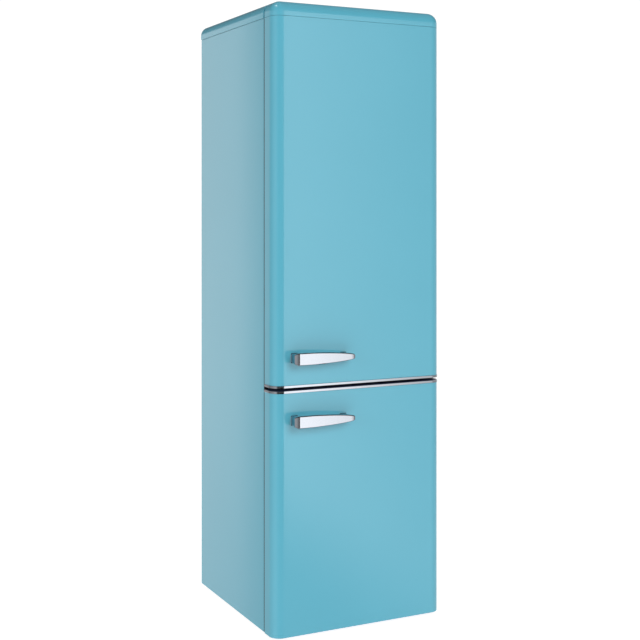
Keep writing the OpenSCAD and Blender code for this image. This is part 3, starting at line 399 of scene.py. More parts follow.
handle_x, grip_half = -226, 17.4  # its left end, and half its height there
for name, body, z in (("fridge_door_handle", "fridge_door", 801),
        ("freezer_door_handle", "freezer_door", 625)):
    handle = piece(name, body, chrome, crease=24)

    def section(x, back, face, half, bevel):
        """Section of the grip at x: depths of its back and face, half its height, its bevel."""
        rear = min(2.5, (back - face) / 3)
        return [(handle_x + x, door_y + y, z + s) for y, s in (
            (back, half - rear), (back, -half + rear), (back - rear, -half), (face + bevel, -half),
            (face, -half + bevel), (face, half - bevel), (face + bevel, half), (back - rear, half))]

    stations = [(0, -28.5, -33.5, 12.0, 0.8), (0.5, -27.6, -34.4, 13.0, 0.9),
        (1.3, -27.0, -35.6, 13.4, 1.1), (9.0, -29.5, -41.6, 17.0, 1.9),
        (10.0, -30.0, -42.0, grip_half, 2.0)]
    for x in range(14, 183, 7):
        along = max((x - 55) / 135, 0)  # the sides run parallel at first, then close like a bullet
        half = grip_half * (0.5 * sqrt(1 - along ** 2) + 0.5 * (1 - 0.42 * along))
        stations.append((x, -30.6, -42.0, half, 2.2))
    stations += [(185, -30.0, -41.7, 7.6, 2.1), (187.6, -29.0, -40.6, 6.2, 1.9),
        (189.4, -28.4, -38.2, 4.4, 1.5), (190, -28.2, -35.8, 2.6, 0.9)]
    loft(handle, [section(*s) for s in stations])
    for x0, x1, wide, narrow in ((5, 25, 13.2, 13.2), (160, 180, 8.4, 7.4)):
        neck = []
        for y, grow in ((0, 1.2), (-0.8, 0.4), (-3, 0), (-26, 0), (-33, -0.6)):
            half = wide if y > -20 else narrow
            neck.append([(handle_x + px, door_y + y, z + pz) for px, pz in rounded(
                [(x0 - grow, -half - grow), (x1 + grow, -half - grow), (x1 + grow, half + grow),
                (x0 - grow, half + grow)], 4, steps=6)])
        loft(handle, neck)
    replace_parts(shade(handle), name.replace("_door_handle", "_handle"))

# -- bare sheet metal
# The top, the back, the floor and the compressor's cross member are pressed from hot-dip galvanised
# sheet and spot-welded between the painted sides. The strips behind the seals are painted.


def dress(material, *nodes):
    """Gives frame parts that keep their own shape their finish."""
    for node in nodes:
        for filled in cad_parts[node].material_slots:
            filled.material = material


# Zinc froze on the sheet in flat crystals 9 mm across, each a slightly different grey.
galvanised, tree, surface = shader("hot_dip_galvanised_steel", "#a3a8ac", metallic=1.0, roughness=0.42)
place = add(tree, "TexCoord")
spangle = add(tree, "TexVoronoi", {"Vector": place.outputs["Object"]}, scale=1000 / 9)
greys = add(tree, "ValToRGB", {"Fac": spangle.outputs["Color"]})
for end, grey in zip(greys.color_ramp.elements, ("#8d9296", "#b4b9bd")):
    end.color = linear(grey)
facets = add(tree, "MapRange", {"Value": spangle.outputs["Color"]}, to_min=0.34, to_max=0.52)
tree.links.new(greys.outputs["Color"], surface.inputs["Base Color"])
tree.links.new(facets.outputs["Result"], surface.inputs["Roughness"])
dress(galvanised, "top_panel", "back_panel", "base_plate", "compressor_tray")
dress(enamel, "front_rails")

# -- insulation
# Polyurethane foam is injected between the shell and the liners and sets there. It is dull yellow,
# and the skin it leaves against the metal is full of pinholes.

# Foamed plastic: matt, uneven in colour, with open cells 1.5 mm across.
foam, tree, surface = foamed = shader("polyurethane_foam", "#e0cf9c", roughness=0.9)
patterned(foamed, 60, tones=("#d3bf86", "#eadcb2"))
place = add(tree, "TexCoord")
cells = add(tree, "TexVoronoi", {"Vector": place.outputs["Object"]}, scale=1000 / 1.5)
pits = add(tree, "Bump", {"Height": cells.outputs["Distance"]}, strength=0.5, distance=0.001)
tree.links.new(pits.outputs["Normal"], surface.inputs["Normal"])
dress(foam, "cabinet_foam", "fridge_door_foam", "freezer_door_foam")

# -- liners
# Each compartment is one tub, vacuum-formed from a 2 mm sheet of white polystyrene. Its mouth rolls
# out over the steel flanges, and ledges pressed into its walls carry what slides in.


def window(half, low, high, corner, y):
    """An upright rectangle with round corners at depth y, centred on the cabinet."""
    corners = [(-half, low), (half, low), (half, high), (-half, high)]
    return upright(rounded(corners, corner, steps=6), y)


def bar(made, low, high, along="z", corner=2.0, edge=0.6):
    """A block between two opposite corners, rounded along an axis by corner and at its ends by edge."""
    i, j, k = ("xyz".index(axis) for axis in "xyz".replace(along, "") + along)
    least = min(high[i] - low[i], high[j] - low[j])
    corner, edge = min(corner, 0.45 * least), min(edge, 0.3 * least)
    rings = []
    for end, inwards in ((low[k], 1), (high[k], -1)):
        rows = []
        for step_in, e in ((0, edge), (0.3 * edge, 0.3 * edge), (edge, 0)):
            ring = []
            for a, b in rounded([(low[i] + e, low[j] + e), (high[i] - e, low[j] + e),
                    (high[i] - e, high[j] - e), (low[i] + e, high[j] - e)],
                    max(corner - e, 0.1), steps=5):
                point = [0.0, 0.0, 0.0]
                point[i], point[j], point[k] = a, b, end + inwards * step_in
                ring.append(tuple(point))
            rows.append(ring)
        rings += rows if inwards > 0 else reversed(rows)
    return loft(made, rings)


# High-impact polystyrene drawn over a mould: satin white, with soft waves 12 mm apart.
liner_white = patterned(shader("white_formed_polystyrene", "#edf1f2", roughness=0.28, ior=1.55),
    12, detail=0.0, gloss=(0.26, 0.36), relief=(0.1, 0.0001))

wall, mouth, rear_r, bend_r = 2, 3, 22, 12
coil_levels, shelf_z, ledge_pitch = (292, 487), 945, 96
for name, half, low, high, lip_high, depth, step_y, step_z in (
        ("fridge_liner_tub", 230, 751, 1730, 1733, 433, None, None),
        ("freezer_liner_tub", 215, 85, 678, 684, 413, 255, 285)):
    liner = piece(name, "cabinet", liner_white)
    floor_line = [(mouth, low)]
    if step_y:
        floor_line += [(step_y - bend_r * (1 - s), low + bend_r * (1 - c)) for s, c in quarter()]
        floor_line += [(step_y + bend_r * (1 - c), step_z - bend_r * (1 - s)) for s, c in quarter()]
    base = floor_line[-1][1]
    inner = [(-mouth * (1 - c), mouth * (1 - s), low) for s, c in reversed(quarter())]
    inner += [(0, y, z) for y, z in floor_line]
    inner += [(rear_r * (1 - c), depth - rear_r + rear_r * s, base) for s, c in quarter()]
    inner.reverse()
    rings = [window(half - e, z + e, high - e, max(14 - e / 2, 3), y) for e, y, z in inner]
    rings += [window(flange_x, low - mouth, lip_high, 1, y) for y in (0, wall)]
    outer = [(e - wall, y + wall, z) for e, y, z in reversed(inner) if y > mouth / 2]
    rings += [window(half - e, z + e, high - e, max(14 - e / 2, 3), y) for e, y, z in outer]
    loft(liner, rings)
    if step_y:
        ledges = [(half, 50, 412, z - 4, 6) for z in coil_levels]
    else:
        ledges = [(half, 130, 432, shelf_z + ledge_pitch * i, 8) for i in range(8)]
    for edge_x, y0, y1, z, reach in ledges:
        for sign in (-1, 1):
            x0, x1 = sorted((sign * (edge_x - reach), sign * (edge_x + 1)))
            bar(liner, (x0, y0, z - 5), (x1, y1, z), "y", 1.8, 2.5)
    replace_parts(shade(liner), name.replace("_tub", ""))

# -- cooling plates and drain
# The fridge is cooled by a roll-bonded aluminium plate in the foam behind its rear wall. Meltwater
# runs down that wall into a funnel and through a polypropylene tube to the tray on the compressor.

# Mill-finish aluminium: pale, satin, with fine lines 0.4 mm apart along the rolling direction.
aluminium, tree, surface = shader("rolled_aluminium", "#d5d7d9", metallic=1.0, roughness=0.38)
place = add(tree, "TexCoord")
stretch = add(tree, "Mapping", {"Vector": place.outputs["Object"]}, scale=(20, 2500, 2500))
lines = add(tree, "TexNoise", {"Vector": stretch.outputs["Vector"]}, scale=1.0, detail=1.0)
satin = add(tree, "MapRange", {"Value": lines.outputs["Fac"]}, to_min=0.28, to_max=0.48)
tree.links.new(satin.outputs["Result"], surface.inputs["Roughness"])
dress(aluminium, "fridge_evaporator")

# Grey polypropylene, moulded: satin, with a fine spark-eroded grain 0.6 mm across.
grey_plastic = patterned(shader("grey_polypropylene", "#b9bdc0", roughness=0.45),
    0.6, gloss=(0.38, 0.55), relief=(0.15, 0.0002))
dress(grey_plastic, "drain_tube", "relay_box")

# -- freezer shelves
# Two shelves of bent steel tube, with wires welded across them and all dipped white, cool the
# freezer. The drawers slide on them.


def swept(path, r, sides=10):
    """Rings of a round tube of radius r along a path."""
    path = [Vector(point) for point in path]
    side, rings = None, []
    for i, point in enumerate(path):
        along = (path[min(i + 1, len(path) - 1)] - path[max(i - 1, 0)]).normalized()
        side = side or along.orthogonal()
        side = (side - along * side.dot(along)).normalized()
        over = along.cross(side)
        turns = [tau * k / sides for k in range(sides)]
        rings.append([tuple(point + side * (r * cos(a)) + over * (r * sin(a))) for a in turns])
    return rings


def zigzag(half, pitch, runs, first):
    """A line to and fro between -half and half, pitch apart, whose first bend is on the side first."""
    line = [(-first * half, 0.0)]
    for i in range(runs):
        s = first if i % 2 == 0 else -first
        line.append((s * half, i * pitch))
        if i < runs - 1:
            middle = (i + 0.5) * pitch
            for k in range(1, 11):
                a = radians(-90 + 180 * k / 11)
                line.append((s * (half + pitch / 2 * cos(a)), middle + pitch / 2 * sin(a)))
            line.append((s * half, (i + 1) * pitch))
    return line


# Thick white dip coat: glossy, rounding off every weld, with small runs 5 mm long.
white_wire = patterned(
    shader("white_dip_coating", "#eef0f0", roughness=0.3, coat_weight=0.4, coat_roughness=0.1),
    5, relief=(0.1, 0.0004))

coils = piece("freezer_coil_shelves", "cabinet", white_wire)
tube_r, wire_r, wire_pitch = 4, 1.2, 21
for z in coil_levels:
    loft(coils, swept([(x, 70 + y, z) for x, y in zigzag(178, 52, 7, 1)], tube_r))
    wire_z = z + tube_r + 0.8  # welded in by 0.4 mm
    for i in range(-8, 9):
        loft(coils, swept([(i * wire_pitch, y, wire_z) for y in (62, 390)], wire_r, sides=8))
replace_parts(shade(coils), "freezer_evaporator")

# -- compressor
# The compressor is a welded pair of deep-drawn steel domes, dipped black, that hangs on four rubber
# grommets in the cross member. Short steel stubs leave its wall.


def turned(centre, axis, profile, steps=56):
    """Rings of a turned part. profile holds (radius, distance along the axis) from end to end."""
    rings = []
    for r, d in profile:
        ring = []
        for k in range(steps):
            u, v = r * cos(tau * k / steps), r * sin(tau * k / steps)
            shift = {"x": (d, u, v), "y": (v, d, u), "z": (u, v, d)}[axis]
            ring.append(tuple(c + s for c, s in zip(centre, shift)))
        rings.append(ring)
    return rings


# Black dip enamel on steel: deep black, half gloss, a little dusty, with sags 15 mm wide.
black_enamel = patterned(
    shader("black_dip_enamel", "#17181a", roughness=0.32, coat_weight=0.3, coat_roughness=0.12),
    15, detail=3.0, tones=("#131416", "#232528"), gloss=(0.24, 0.5), relief=(0.1, 0.0006))

bay_x, bay_y, plate_z = -120, 405, 40
shell_r, shell_z, dome_r, plate_half = 72, plate_z + 3, 120, (78, 74)
pump = piece("compressor_shell", "cabinet", black_enamel)
body = [(58, 0), (66, 1.5), (70, 5), (shell_r, 11), (shell_r, 43), (75.5, 44), (75.5, 48),
    (shell_r, 49), (shell_r, 90), (71.5, 93.5), (70.3, 96), (68.3, 98.2)]
# the dome's centre is level with its foot
body += [(r, sqrt(dome_r ** 2 - r * r)) for r in (65, 60, 52, 42, 30, 16, 1)]
loft(pump, turned((bay_x, bay_y, shell_z), "z", body, steps=72))
bar(pump, (bay_x - plate_half[0], bay_y - plate_half[1], plate_z),
    (bay_x + plate_half[0], bay_y + plate_half[1], shell_z), corner=16, edge=0.5)
for y, z, end, signs in ((28, 70, 86, (-1, 1)), (-28, 70, 86, (-1, 1)), (-28, 20, 80, (1,))):
    for sign in signs:
        stub = [(bay_x + sign * x, bay_y + y, plate_z + z) for x in (60, end)]
        loft(pump, swept(stub, 4, sides=16))
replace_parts(shade(pump), "compressor")

# Nitrile rubber: black, matt, with a dull bloom in patches 4 mm across.
rubber = patterned(shader("black_nitrile_rubber", "#1c1c1d", roughness=0.7),
    4, detail=3.0, tones=("#161617", "#29292a"))
dress(rubber, "compressor_grommets")

# -- meltwater tray
# A shallow black polypropylene tray rests on the warm dome of the compressor, where meltwater dries.


def tub(made, low, high, corner, foot, thick, draw=0.0, dip=None):
    """An open box with round corners and a round foot. draw is how far its walls lean in at the
    bottom, and dip gives how far its rim drops at a depth y."""
    (x0, y0, z0), (x1, y1, z1) = low, high
    drop = dip or (lambda y: 0.0)

    def ring(e, z, at_rim=False):
        flat = rounded([(x0 + e, y0 + e), (x1 - e, y0 + e), (x1 - e, y1 - e), (x0 + e, y1 - e)],
            max(corner - e, 1.0), steps=6)
        return [(x, y, z - (drop(y) if at_rim else 0)) for x, y in flat]

    rings = [ring(draw + foot * (1 - s), z0 + foot * (1 - c)) for s, c in quarter(5)]
    rim = ((0.25, 0.8), (0, 0.5), (0.25, 0), (0.9, 0), (1.2, 0.5))
    rings += [ring(e * thick, z1 - z * thick, True) for e, z in rim]
    inner = max(foot - thick, 0.5)
    rings += [ring(draw + thick + inner * (1 - s), z0 + thick + inner * (1 - c))
        for s, c in reversed(quarter(5))]
    return loft(made, rings)


# Black polypropylene: satin black with a fine moulded grain 0.8 mm across.
black_plastic = patterned(shader("black_polypropylene", "#1a1b1d", roughness=0.5),
    0.8, gloss=(0.42, 0.6), relief=(0.2, 0.0002))

tray_box = [[1000 * v for v in corner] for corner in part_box("evaporating_tray")]
tray_low = [tray_box[0][0], tray_box[0][1] - 1000 * front, tray_box[1][2] - 46]
tray_high = [tray_box[1][0], tray_box[1][1] - 1000 * front, tray_box[1][2]]
drip_tray = piece("meltwater_tray", "cabinet", black_plastic)
tub(drip_tray, tray_low, tray_high, 14, 4, 2.5)
loft(drip_tray, turned((bay_x, bay_y, tray_low[2]), "z", [(41, 0.5), (41, -6), (44, -6), (44, 0.5)]),
    closed=True)
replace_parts(shade(drip_tray), "evaporating_tray")

# -- condenser
# A steel tube climbs the back in a zigzag, with upright wires welded to both its faces to shed heat.
# It is dipped black, and eight clips at its sides hold it clear of the back.

cond_y, cond_z, cond_pitch, cond_runs, cond_half, pipe_r = rear_y - 12, 290, 60, 24, 205, 2.4
cond_top = cond_z + cond_pitch * (cond_runs - 1)
condenser = piece("condenser_tube", "cabinet", black_enamel)
coil = [(x, cond_y, cond_z + z) for x, z in zigzag(cond_half, cond_pitch, cond_runs, -1)]
loft(condenser, swept(coil, pipe_r))
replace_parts(shade(condenser), "condenser_coil")

fins = piece("condenser_fin_wires", "cabinet", black_enamel)
fin_r, fin_pitch = 0.8, 12
for i in range(-16, 17):
    for sign in (-1, 1):
        y = cond_y + sign * (pipe_r + fin_r)
        wire = [(i * fin_pitch, y, z) for z in (cond_z - fin_pitch, cond_top + fin_pitch)]
        loft(fins, swept(wire, fin_r, sides=6))
for x in (-199.5, 199.5):
    for run in (1, 8, 15, 22):
        z = cond_z + run * cond_pitch
        for tall, y, corner, edge in ((7, cond_y + 4, 2, 1.2), (16, rear_y - 20, 3, 0.6)):
            bar(fins, (x - 4.5, rear_y - 22, z - tall), (x + 4.5, y, z + tall), "y", corner, edge)
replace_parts(shade(fins), "condenser_wires")

# -- refrigerant pipes
# Soft copper pipes, brazed at their ends, join the compressor, the condenser, the filter drier and
# the capillary tube. They are bent cold to 12 mm.


def bent(points, radius, steps=7):
    """A path through points, with a round bend of that radius at each corner."""
    points = [Vector(point) for point in points]
    path = [points[0]]
    for a, p, b in zip(points, points[1:], points[2:]):
        u, v = (a - p).normalized(), (b - p).normalized()
        path += [p + (u + v) * radius - v * radius * c - u * radius * s for s, c in quarter(steps)]
    return path + [points[-1]]


# Drawn copper: warm and bright, with brown tarnish in patches 20 mm long.
copper = patterned(shader("drawn_copper", "#c98a68", metallic=1.0, roughness=0.3),
    20, detail=4.0, tones=("#d59a78", "#8d5438"), stops=(0.35, 0.7), gloss=(0.2, 0.5))

pipes = piece("copper_pipes", "cabinet", copper)
stub_z, stub_x, bay_top = plate_z + 70, bay_x + 86, 244
drier_x, drier_z = 190, 190
for path, r, bend_r in (
        ([(stub_x, bay_y + 28, stub_z), (60, bay_y + 28, stub_z), (60, cond_y, stub_z),
        (250, cond_y, stub_z), (250, cond_y, cond_top), (cond_half, cond_y, cond_top)], pipe_r, 12),
        ([(cond_half, cond_y, cond_z), (232, cond_y, cond_z), (232, cond_y, drier_z),
        (drier_x, cond_y, drier_z)], pipe_r, 12),
        ([(100, cond_y, drier_z), (40, cond_y, drier_z), (40, 440, drier_z), (40, 440, bay_top)],
        1.2, 8),
        ([(stub_x, bay_y - 28, stub_z), (10, bay_y - 28, stub_z), (10, bay_y - 28, bay_top)], 3.5, 12)):
    loft(pipes, swept(bent(path, bend_r), r, sides=14))
drier = [(1.2, -92), (2.5, -90), (5.5, -85), (7.6, -81), (8, -79), (8, -11), (7.4, -9), (5, -4),
    (2.4, 0)]
loft(pipes, turned((drier_x, cond_y, drier_z), "x", drier, steps=32))
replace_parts(shade(pipes), "refrigerant_pipes")

# -- mains inlet
# A black bushing snaps into the rear flange of the cross member, where the supply lead goes in.

inlet_x, inlet_z, bush_y = 90, 58, rear_y - 6
bush = piece("mains_lead_bushing", "cabinet", black_plastic)
loft(bush, turned((inlet_x, bush_y, inlet_z), "y",
    [(8.4, -14), (9, -13), (9, 0), (12.4, 0), (13, 0.6), (13, 2.2), (12.2, 3), (9, 3.2), (8.6, 5),
    (5, 5), (4.2, 4), (4.2, -14)], steps=40), closed=True)
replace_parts(shade(bush), "mains_inlet")

# -- hinges and screws
# The three hinge plates are 3 or 4 mm steel, dipped black, each with a turned pin. Their hexagon
# screws are zinc-plated.

# Bright zinc: grey metal with a faint blue and yellow cast in patches 3 mm wide.
zinc = patterned(shader("bright_zinc_plate", "#b9bec2", metallic=1.0, roughness=0.3),
    3, tones=("#aeb8c2", "#c9c7b4"))
dress(black_enamel, "top_hinge", "middle_hinge", "bottom_hinge")
dress(zinc, "hinge_screws")

# -- thermostat housing
# A white moulded housing under the fridge's ceiling holds the thermostat, the lamp and the door
# switch. The raised dots round its dial grow from cold to colder.

# White polystyrene, moulded: satin, with a fine grain 0.8 mm across.
moulded_white = patterned(shader("white_moulded_polystyrene", "#eceff0", roughness=0.35),
    0.8, gloss=(0.3, 0.42), relief=(0.1, 0.0002))

control_y, control_rear, control_z, ceiling = 62, 230, 1684, 1730
knob_x, knob_z, switch_x, switch_z = 95, 1707, -110, 1704
housing = piece("thermostat_housing", "cabinet", moulded_white)
rings = []
for x, e in ((-150, 1.5), (-149.4, 0.5), (-148.5, 0), (148.5, 0), (149.4, 0.5), (150, 1.5)):
    y, z, rear = control_y + e, control_z + e, control_rear - e
    rings.append(sideways(rounded([(y, ceiling), (y, z), (rear, z), (rear, ceiling)],
        [0.5, 14, 6, 0.5]), x))
loft(housing, rings)
dial_r = 20.6
for k in range(7):
    a, r = radians(225 - 45 * k), 0.5 + 0.12 * k
    dot = (knob_x + dial_r * cos(a), control_y, knob_z + dial_r * sin(a))
    if dot[2] > control_z + 15:  # the housing's lower edge is round below that
        loft(housing, turned(dot, "y", [(0.3, -0.5), (r, -0.35), (r + 0.1, 0.2)], steps=12))
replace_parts(shade(housing), "control_box")

knob = piece("thermostat_dial", "thermostat_knob", grey_plastic)
face = control_y - 0.6
loft(knob, turned((knob_x, face, knob_z), "y",
    [(3.1, 16), (3.1, 0), (17.4, 0), (18, -0.6), (18, -8), (17.4, -8.8), (16.4, -9), (15.6, -8.4),
    (15.2, -4.6), (14.4, -4), (0.5, -4)], steps=72))
bar(knob, (knob_x - 3, face - 9, knob_z - 15.4), (knob_x + 3, face - 3.5, knob_z + 15.4), "z", 1.4, 1)
for k in range(36):
    a = tau * k / 36
    loft(knob, turned((knob_x + 17.7 * cos(a), face, knob_z + 17.7 * sin(a)), "y",
        [(0.3, -7.9), (0.3, -0.7)], steps=8))
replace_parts(shade(knob), "thermostat_knob")

# Opal polycarbonate over the lamp: milky, with soft bands 25 mm wide, which is tau / 20 / scale.
opal, tree, surface = shader("opal_polycarbonate", "#f3efe2", roughness=0.25, transmission_weight=0.35,
    subsurface_weight=0.2)
place = add(tree, "TexCoord")
prisms = add(tree, "TexWave", {"Vector": place.outputs["Object"]}, scale=12.5)
ribs = add(tree, "Bump", {"Height": prisms.outputs["Fac"]}, strength=0.3, distance=0.0008)
tree.links.new(ribs.outputs["Normal"], surface.inputs["Normal"])
diffuser = piece("lamp_diffuser", "cabinet", opal)
bar(diffuser, (-89.5, 110.5, control_z - 0.9), (29.5, 199.5, control_z + 8), corner=3, edge=0.5)
for i in range(21):  # moulded prisms, 4 mm apart
    y = 115 + 4 * i
    bar(diffuser, (-86, y - 1.6, control_z - 2), (26, y + 1.6, control_z), "x", 1.0, 1)
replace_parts(shade(diffuser), "lamp_lens")

plunger = piece("door_switch_plunger", "light_switch", moulded_white)
loft(plunger, turned((switch_x, 0, switch_z), "y",
    [(1.5, 30.4), (3.2, 30.9), (4.0, 32), (4.2, 34), (4.2, 73.9), (7, 74), (7, 77), (4.2, 77.1),
    (4.2, 84)], steps=32))
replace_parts(shade(plunger), "light_switch_plunger")

# -- glass shelves
# Four panes of 4 mm toughened glass lie on the ledges. White edge strips are clipped on in front
# and behind, where a low fence keeps food off the wall.


def see_through(name, colour, roughness, ior, least):
    """A shader that covers what is behind it by least when seen square on and fully at a slant."""
    material, tree, surface = shader(name, colour, roughness=roughness, ior=ior)
    facing = add(tree, "Fresnel", ior=ior)
    cover = add(tree, "MapRange", {"Value": facing.outputs["Fac"]}, to_min=least, to_max=1.0)
    tree.links.new(cover.outputs["Result"], surface.inputs["Alpha"])
    return material, tree, surface


# Toughened glass: clear square on, green and mirror-like at a slant, with roller waves 40 mm long.
glass = patterned(see_through("toughened_glass", "#cfe8df", 0.03, 1.52, 0.16),
    40, relief=(0.05, 0.0005))
dress(glass, "shelf_glass")

trim_x = 217
trims = piece("shelf_edge_strips", "cabinet", moulded_white)
for i in range(4):  # a shelf on every second ledge
    z = shelf_z + 2 * ledge_pitch * i
    for y0, y1, z0, z1, corner, edge in (
            (121, 137, -5, -0.05, 2.4, 1.2), (121, 137, 4.05, 9, 2.4, 1.2),
            (121, 127.95, -3, 7, 2.4, 1.2), (428.05, 430, -3, 22, 0.9, 0.8),
            (421, 430, 4.05, 22, 2, 0.8)):
        bar(trims, (-trim_x, y0, z + z0), (trim_x, y1, z + z1), "x", corner, edge)
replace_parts(shade(trims), "shelf_trims")

# -- crispers
# Two salad tubs stand side by side under the lowest shelf. They are injection-moulded in clear
# polystyrene, with a turned-down grip along the front.

# Crystal polystyrene: clear, faintly blue, with a bright skin and flow lines 30 mm apart.
clear = patterned(see_through("crystal_polystyrene", "#dcecf2", 0.06, 1.59, 0.1),
    30, detail=1.0, relief=(0.1, 0.0004))

crisper_y, crisper_top = 128, 934
for name, x0, x1 in (("left_crisper", -222, -2), ("right_crisper", 2, 222)):
    crisper = piece(name + "_tub", name, clear)
    tub(crisper, (x0, crisper_y, 751.5), (x1, 420, crisper_top), 10, 14, 2.4, draw=3)
    for tall, y, corner in ((3, crisper_y + 2, 1.2), (16, crisper_y - 9.6, 1)):  # the grip
        bar(crisper, (x0 + 10, crisper_y - 12, crisper_top - tall), (x1 - 10, y, crisper_top),
            "x", corner, 1.2)
    for k in range(4):  # stiffening beads
        z = 800 + 26 * k
        bar(crisper, (x0 + 26, crisper_y + 0.4, z - 2), (x1 - 26, crisper_y + 3.2, z + 2), "x", 1.1, 1)
    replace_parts(shade(crisper), name)

# -- freezer drawers
# Three deep drawers slide on the coil shelves and on the floor. Each has a tall frosted front with a
# hooded grip in the middle and low walls behind.

# Polystyrene with a satin grain 1.2 mm across: it lets light through but veils what is behind it.
frosted = patterned(see_through("frosted_polystyrene", "#dfeaf0", 0.4, 1.59, 0.5),
    1.2, relief=(0.2, 0.0003))

drawer_x, drawer_y, grip_w = 209, 34, 70
for name, back, low, high, front_top in (("top_freezer_drawer", 400, 493.6, 640, 664),
        ("middle_freezer_drawer", 400, 298.6, 442, 468),
        ("bottom_freezer_drawer", 246, 85.5, 240, 270)):
    drawer = piece(name.replace("_freezer", "") + "_tub", name, frosted)
    grip_z = front_top - 32
    tub(drawer, (-drawer_x, drawer_y + 0.5, low), (drawer_x, back, high), 12, 11, 2.4, draw=2)

    def panel(e, y):
        return window(drawer_x - e, low + e, front_top - e, 8, y)

    def slot_hole(e, y):
        return window(grip_w + e, grip_z - e, grip_z + 20 + e, 8 + e, y)

    loft(drawer, [panel(1.2, drawer_y), panel(0.3, drawer_y + 0.4), panel(0, drawer_y + 1.4),
        panel(0.4, drawer_y + 3), slot_hole(0.4, drawer_y + 3), slot_hole(0, drawer_y + 1.5),
        slot_hole(0.8, drawer_y)], closed=True)
    root, bend_z, hem_z = drawer_y + 0.5, grip_z + 14, grip_z + 2
    # the hood's section: down over the slot, then back up inside
    hood = [(root - 12.5 * s, bend_z + 12 * c) for s, c in quarter()]
    hood += [(drawer_y - 12, hem_z), (drawer_y - 9.6, hem_z)]
    hood += [(root - 10.1 * s, bend_z + 9.6 * c) for s, c in reversed(quarter())]
    loft(drawer, [sideways(hood, x) for x in (-grip_w - 5, grip_w + 5)])
    cheek = [(root, hem_z)] + [(root - 12.4 * s, bend_z + 11.9 * c) for s, c in quarter()]
    cheek.append((drawer_y - 11.9, hem_z))
    for x0, x1 in ((-grip_w - 6, -grip_w - 3.6), (grip_w + 3.6, grip_w + 6)):
        loft(drawer, [sideways(cheek, x) for x in (x0, x1)])
    for z in range(int(low) + 22, grip_z - 12, 18):  # beads across the front
        bar(drawer, (24 - drawer_x, drawer_y - 1.6, z - 3), (drawer_x - 24, drawer_y + 1, z + 3),
            "x", 1.2, 1.5)
    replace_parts(shade(drawer), name)

# -- feet and rollers
# Two black feet on zinc-plated studs screw into the floor at the front, so the fridge can be
# levelled. At the rear it rests on two dished rollers.

foot_x, foot_y = 215, 40
for name, sign in (("left_foot", -1), ("right_foot", 1)):
    base = piece(name + "_pad", name, black_plastic)
    centre = (sign * foot_x, foot_y, 0)
    pad = [(12, 0.0), (15.6, 0.0), (16.6, 0.8), (17, 2), (17, 7.6), (16.2, 8.7), (14.5, 9), (8, 9),
        (8, 12), (4, 12)]
    loft(base, turned(centre, "z", pad, steps=48))
    for k in range(24):
        a = tau * k / 24
        rib = (centre[0] + 16.4 * cos(a), centre[1] + 16.4 * sin(a), 0)
        loft(base, turned(rib, "z", [(0.5, 2.4), (0.6, 2.8), (0.6, 7.4), (0.5, 7.8)], steps=8))
    thread = [(3.2 if k % 2 else 4.0, 11.5 + 0.75 * k) for k in range(52)]
    loft(base, turned(centre, "z", thread, steps=24))
    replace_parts(shade(base), name)


def mirrored(profile):
    """A turned profile from its first half, mirrored in its middle."""
    return profile + [(r, -d) for r, d in reversed(profile)]


roller_x, roller_y, roller_r = 200, 470, 14
for name, sign in (("left_roller", -1), ("right_roller", 1)):
    wheel = piece(name + "_wheel", name, black_plastic)
    tyre = mirrored([(3.1, -8), (6, -8), (6.3, -6), (10.6, -6), (11, -7.8), (13, -8), (roller_r, -7)])
    loft(wheel, turned((sign * roller_x, roller_y, roller_r), "x", tyre, steps=48), closed=True)
    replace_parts(shade(wheel), name)

# -- door end caps
# Moulded polypropylene caps close both doors below and the freezer door above. They are clipped into
# the sheet before the foam goes in, and they carry the bearings for the hinge pins.

# Navy polypropylene, with the black one's grain: its dark blue is painted shade in the door slot.
slot_shade_navy_plastic = patterned(shader("navy_polypropylene_slot_shade", "#3c4a6e", roughness=0.5),
    0.8, gloss=(0.42, 0.6), relief=(0.2, 0.0002))
dress(slot_shade_navy_plastic, "fridge_door_bottom_cap", "freezer_door_end_caps")

# -- inner door panels
# Each door is closed behind by a vacuum-formed panel in white polystyrene. The fridge door's has a
# raised ring that seals the shelves' space and carries the bins, the freezer's a shallow plug.

panel_x = 262.8


def raised(half, low, high, corner, y0, y1, soft=5):
    """A raised step on a panel: a fillet, a steep wall and a round edge."""
    lean, edge = 0.5, 2
    steps = [(-soft * (1 - s), y0 + soft * (1 - c)) for s, c in quarter(4)]
    steps += [(lean + edge * (1 - c), y1 - edge * (1 - s)) for s, c in quarter(4)]
    return [window(half - e, low + e, high - e, max(corner - e, 2), y) for e, y in steps]


for name, body, low, high in (("fridge_door_panel", "fridge_door", 727, cap_z - 3),
        ("freezer_door_panel", "freezer_door", 23, 699)):
    inner = piece(name, body, liner_white)
    y = door_rear
    rings = [window(panel_x - e, low + e, high - e, 4, y + d)
        for e, d in ((0.6, -2), (0, -1.4), (0, -0.6), (0.6, 0))]
    if body == "fridge_door":
        rings += raised(205, 770, 1716, 15, y, 30)
        rings += [window(half, z0, z1, 14, depth) for half, z0, z1, depth in (
            (186, 789, 1697, 30), (183, 792, 1694, 29), (181, 794, 1692, 26), (180, 795, 1691, -3),
            (179, 796, 1690, -6), (176, 799, 1687, -7))]
    else:
        rings += raised(190, 108, 655, 17, y, 8)
    loft(inner, rings)
    if body == "fridge_door":
        for z in (1020, 1230, 1480, 805):
            for x0, x1 in ((-181, -176), (176, 181)):
                bar(inner, (x0, 2, z + 26), (x1, 20, z + 34), "y", 1.5, 2)
    else:
        for z in range(200, 561, 90):
            bar(inner, (-155, 6.5, z - 5), (155, 9.5, z + 5), "x", 1.4, 3)
    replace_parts(shade(inner), name.replace("_panel", "_liner"))

# -- door seals
# A soft vinyl profile is pushed into a groove round each inner panel and welded at its corners. Its
# flat face hides a magnet strip, and a bellows behind it lets it close the gap.

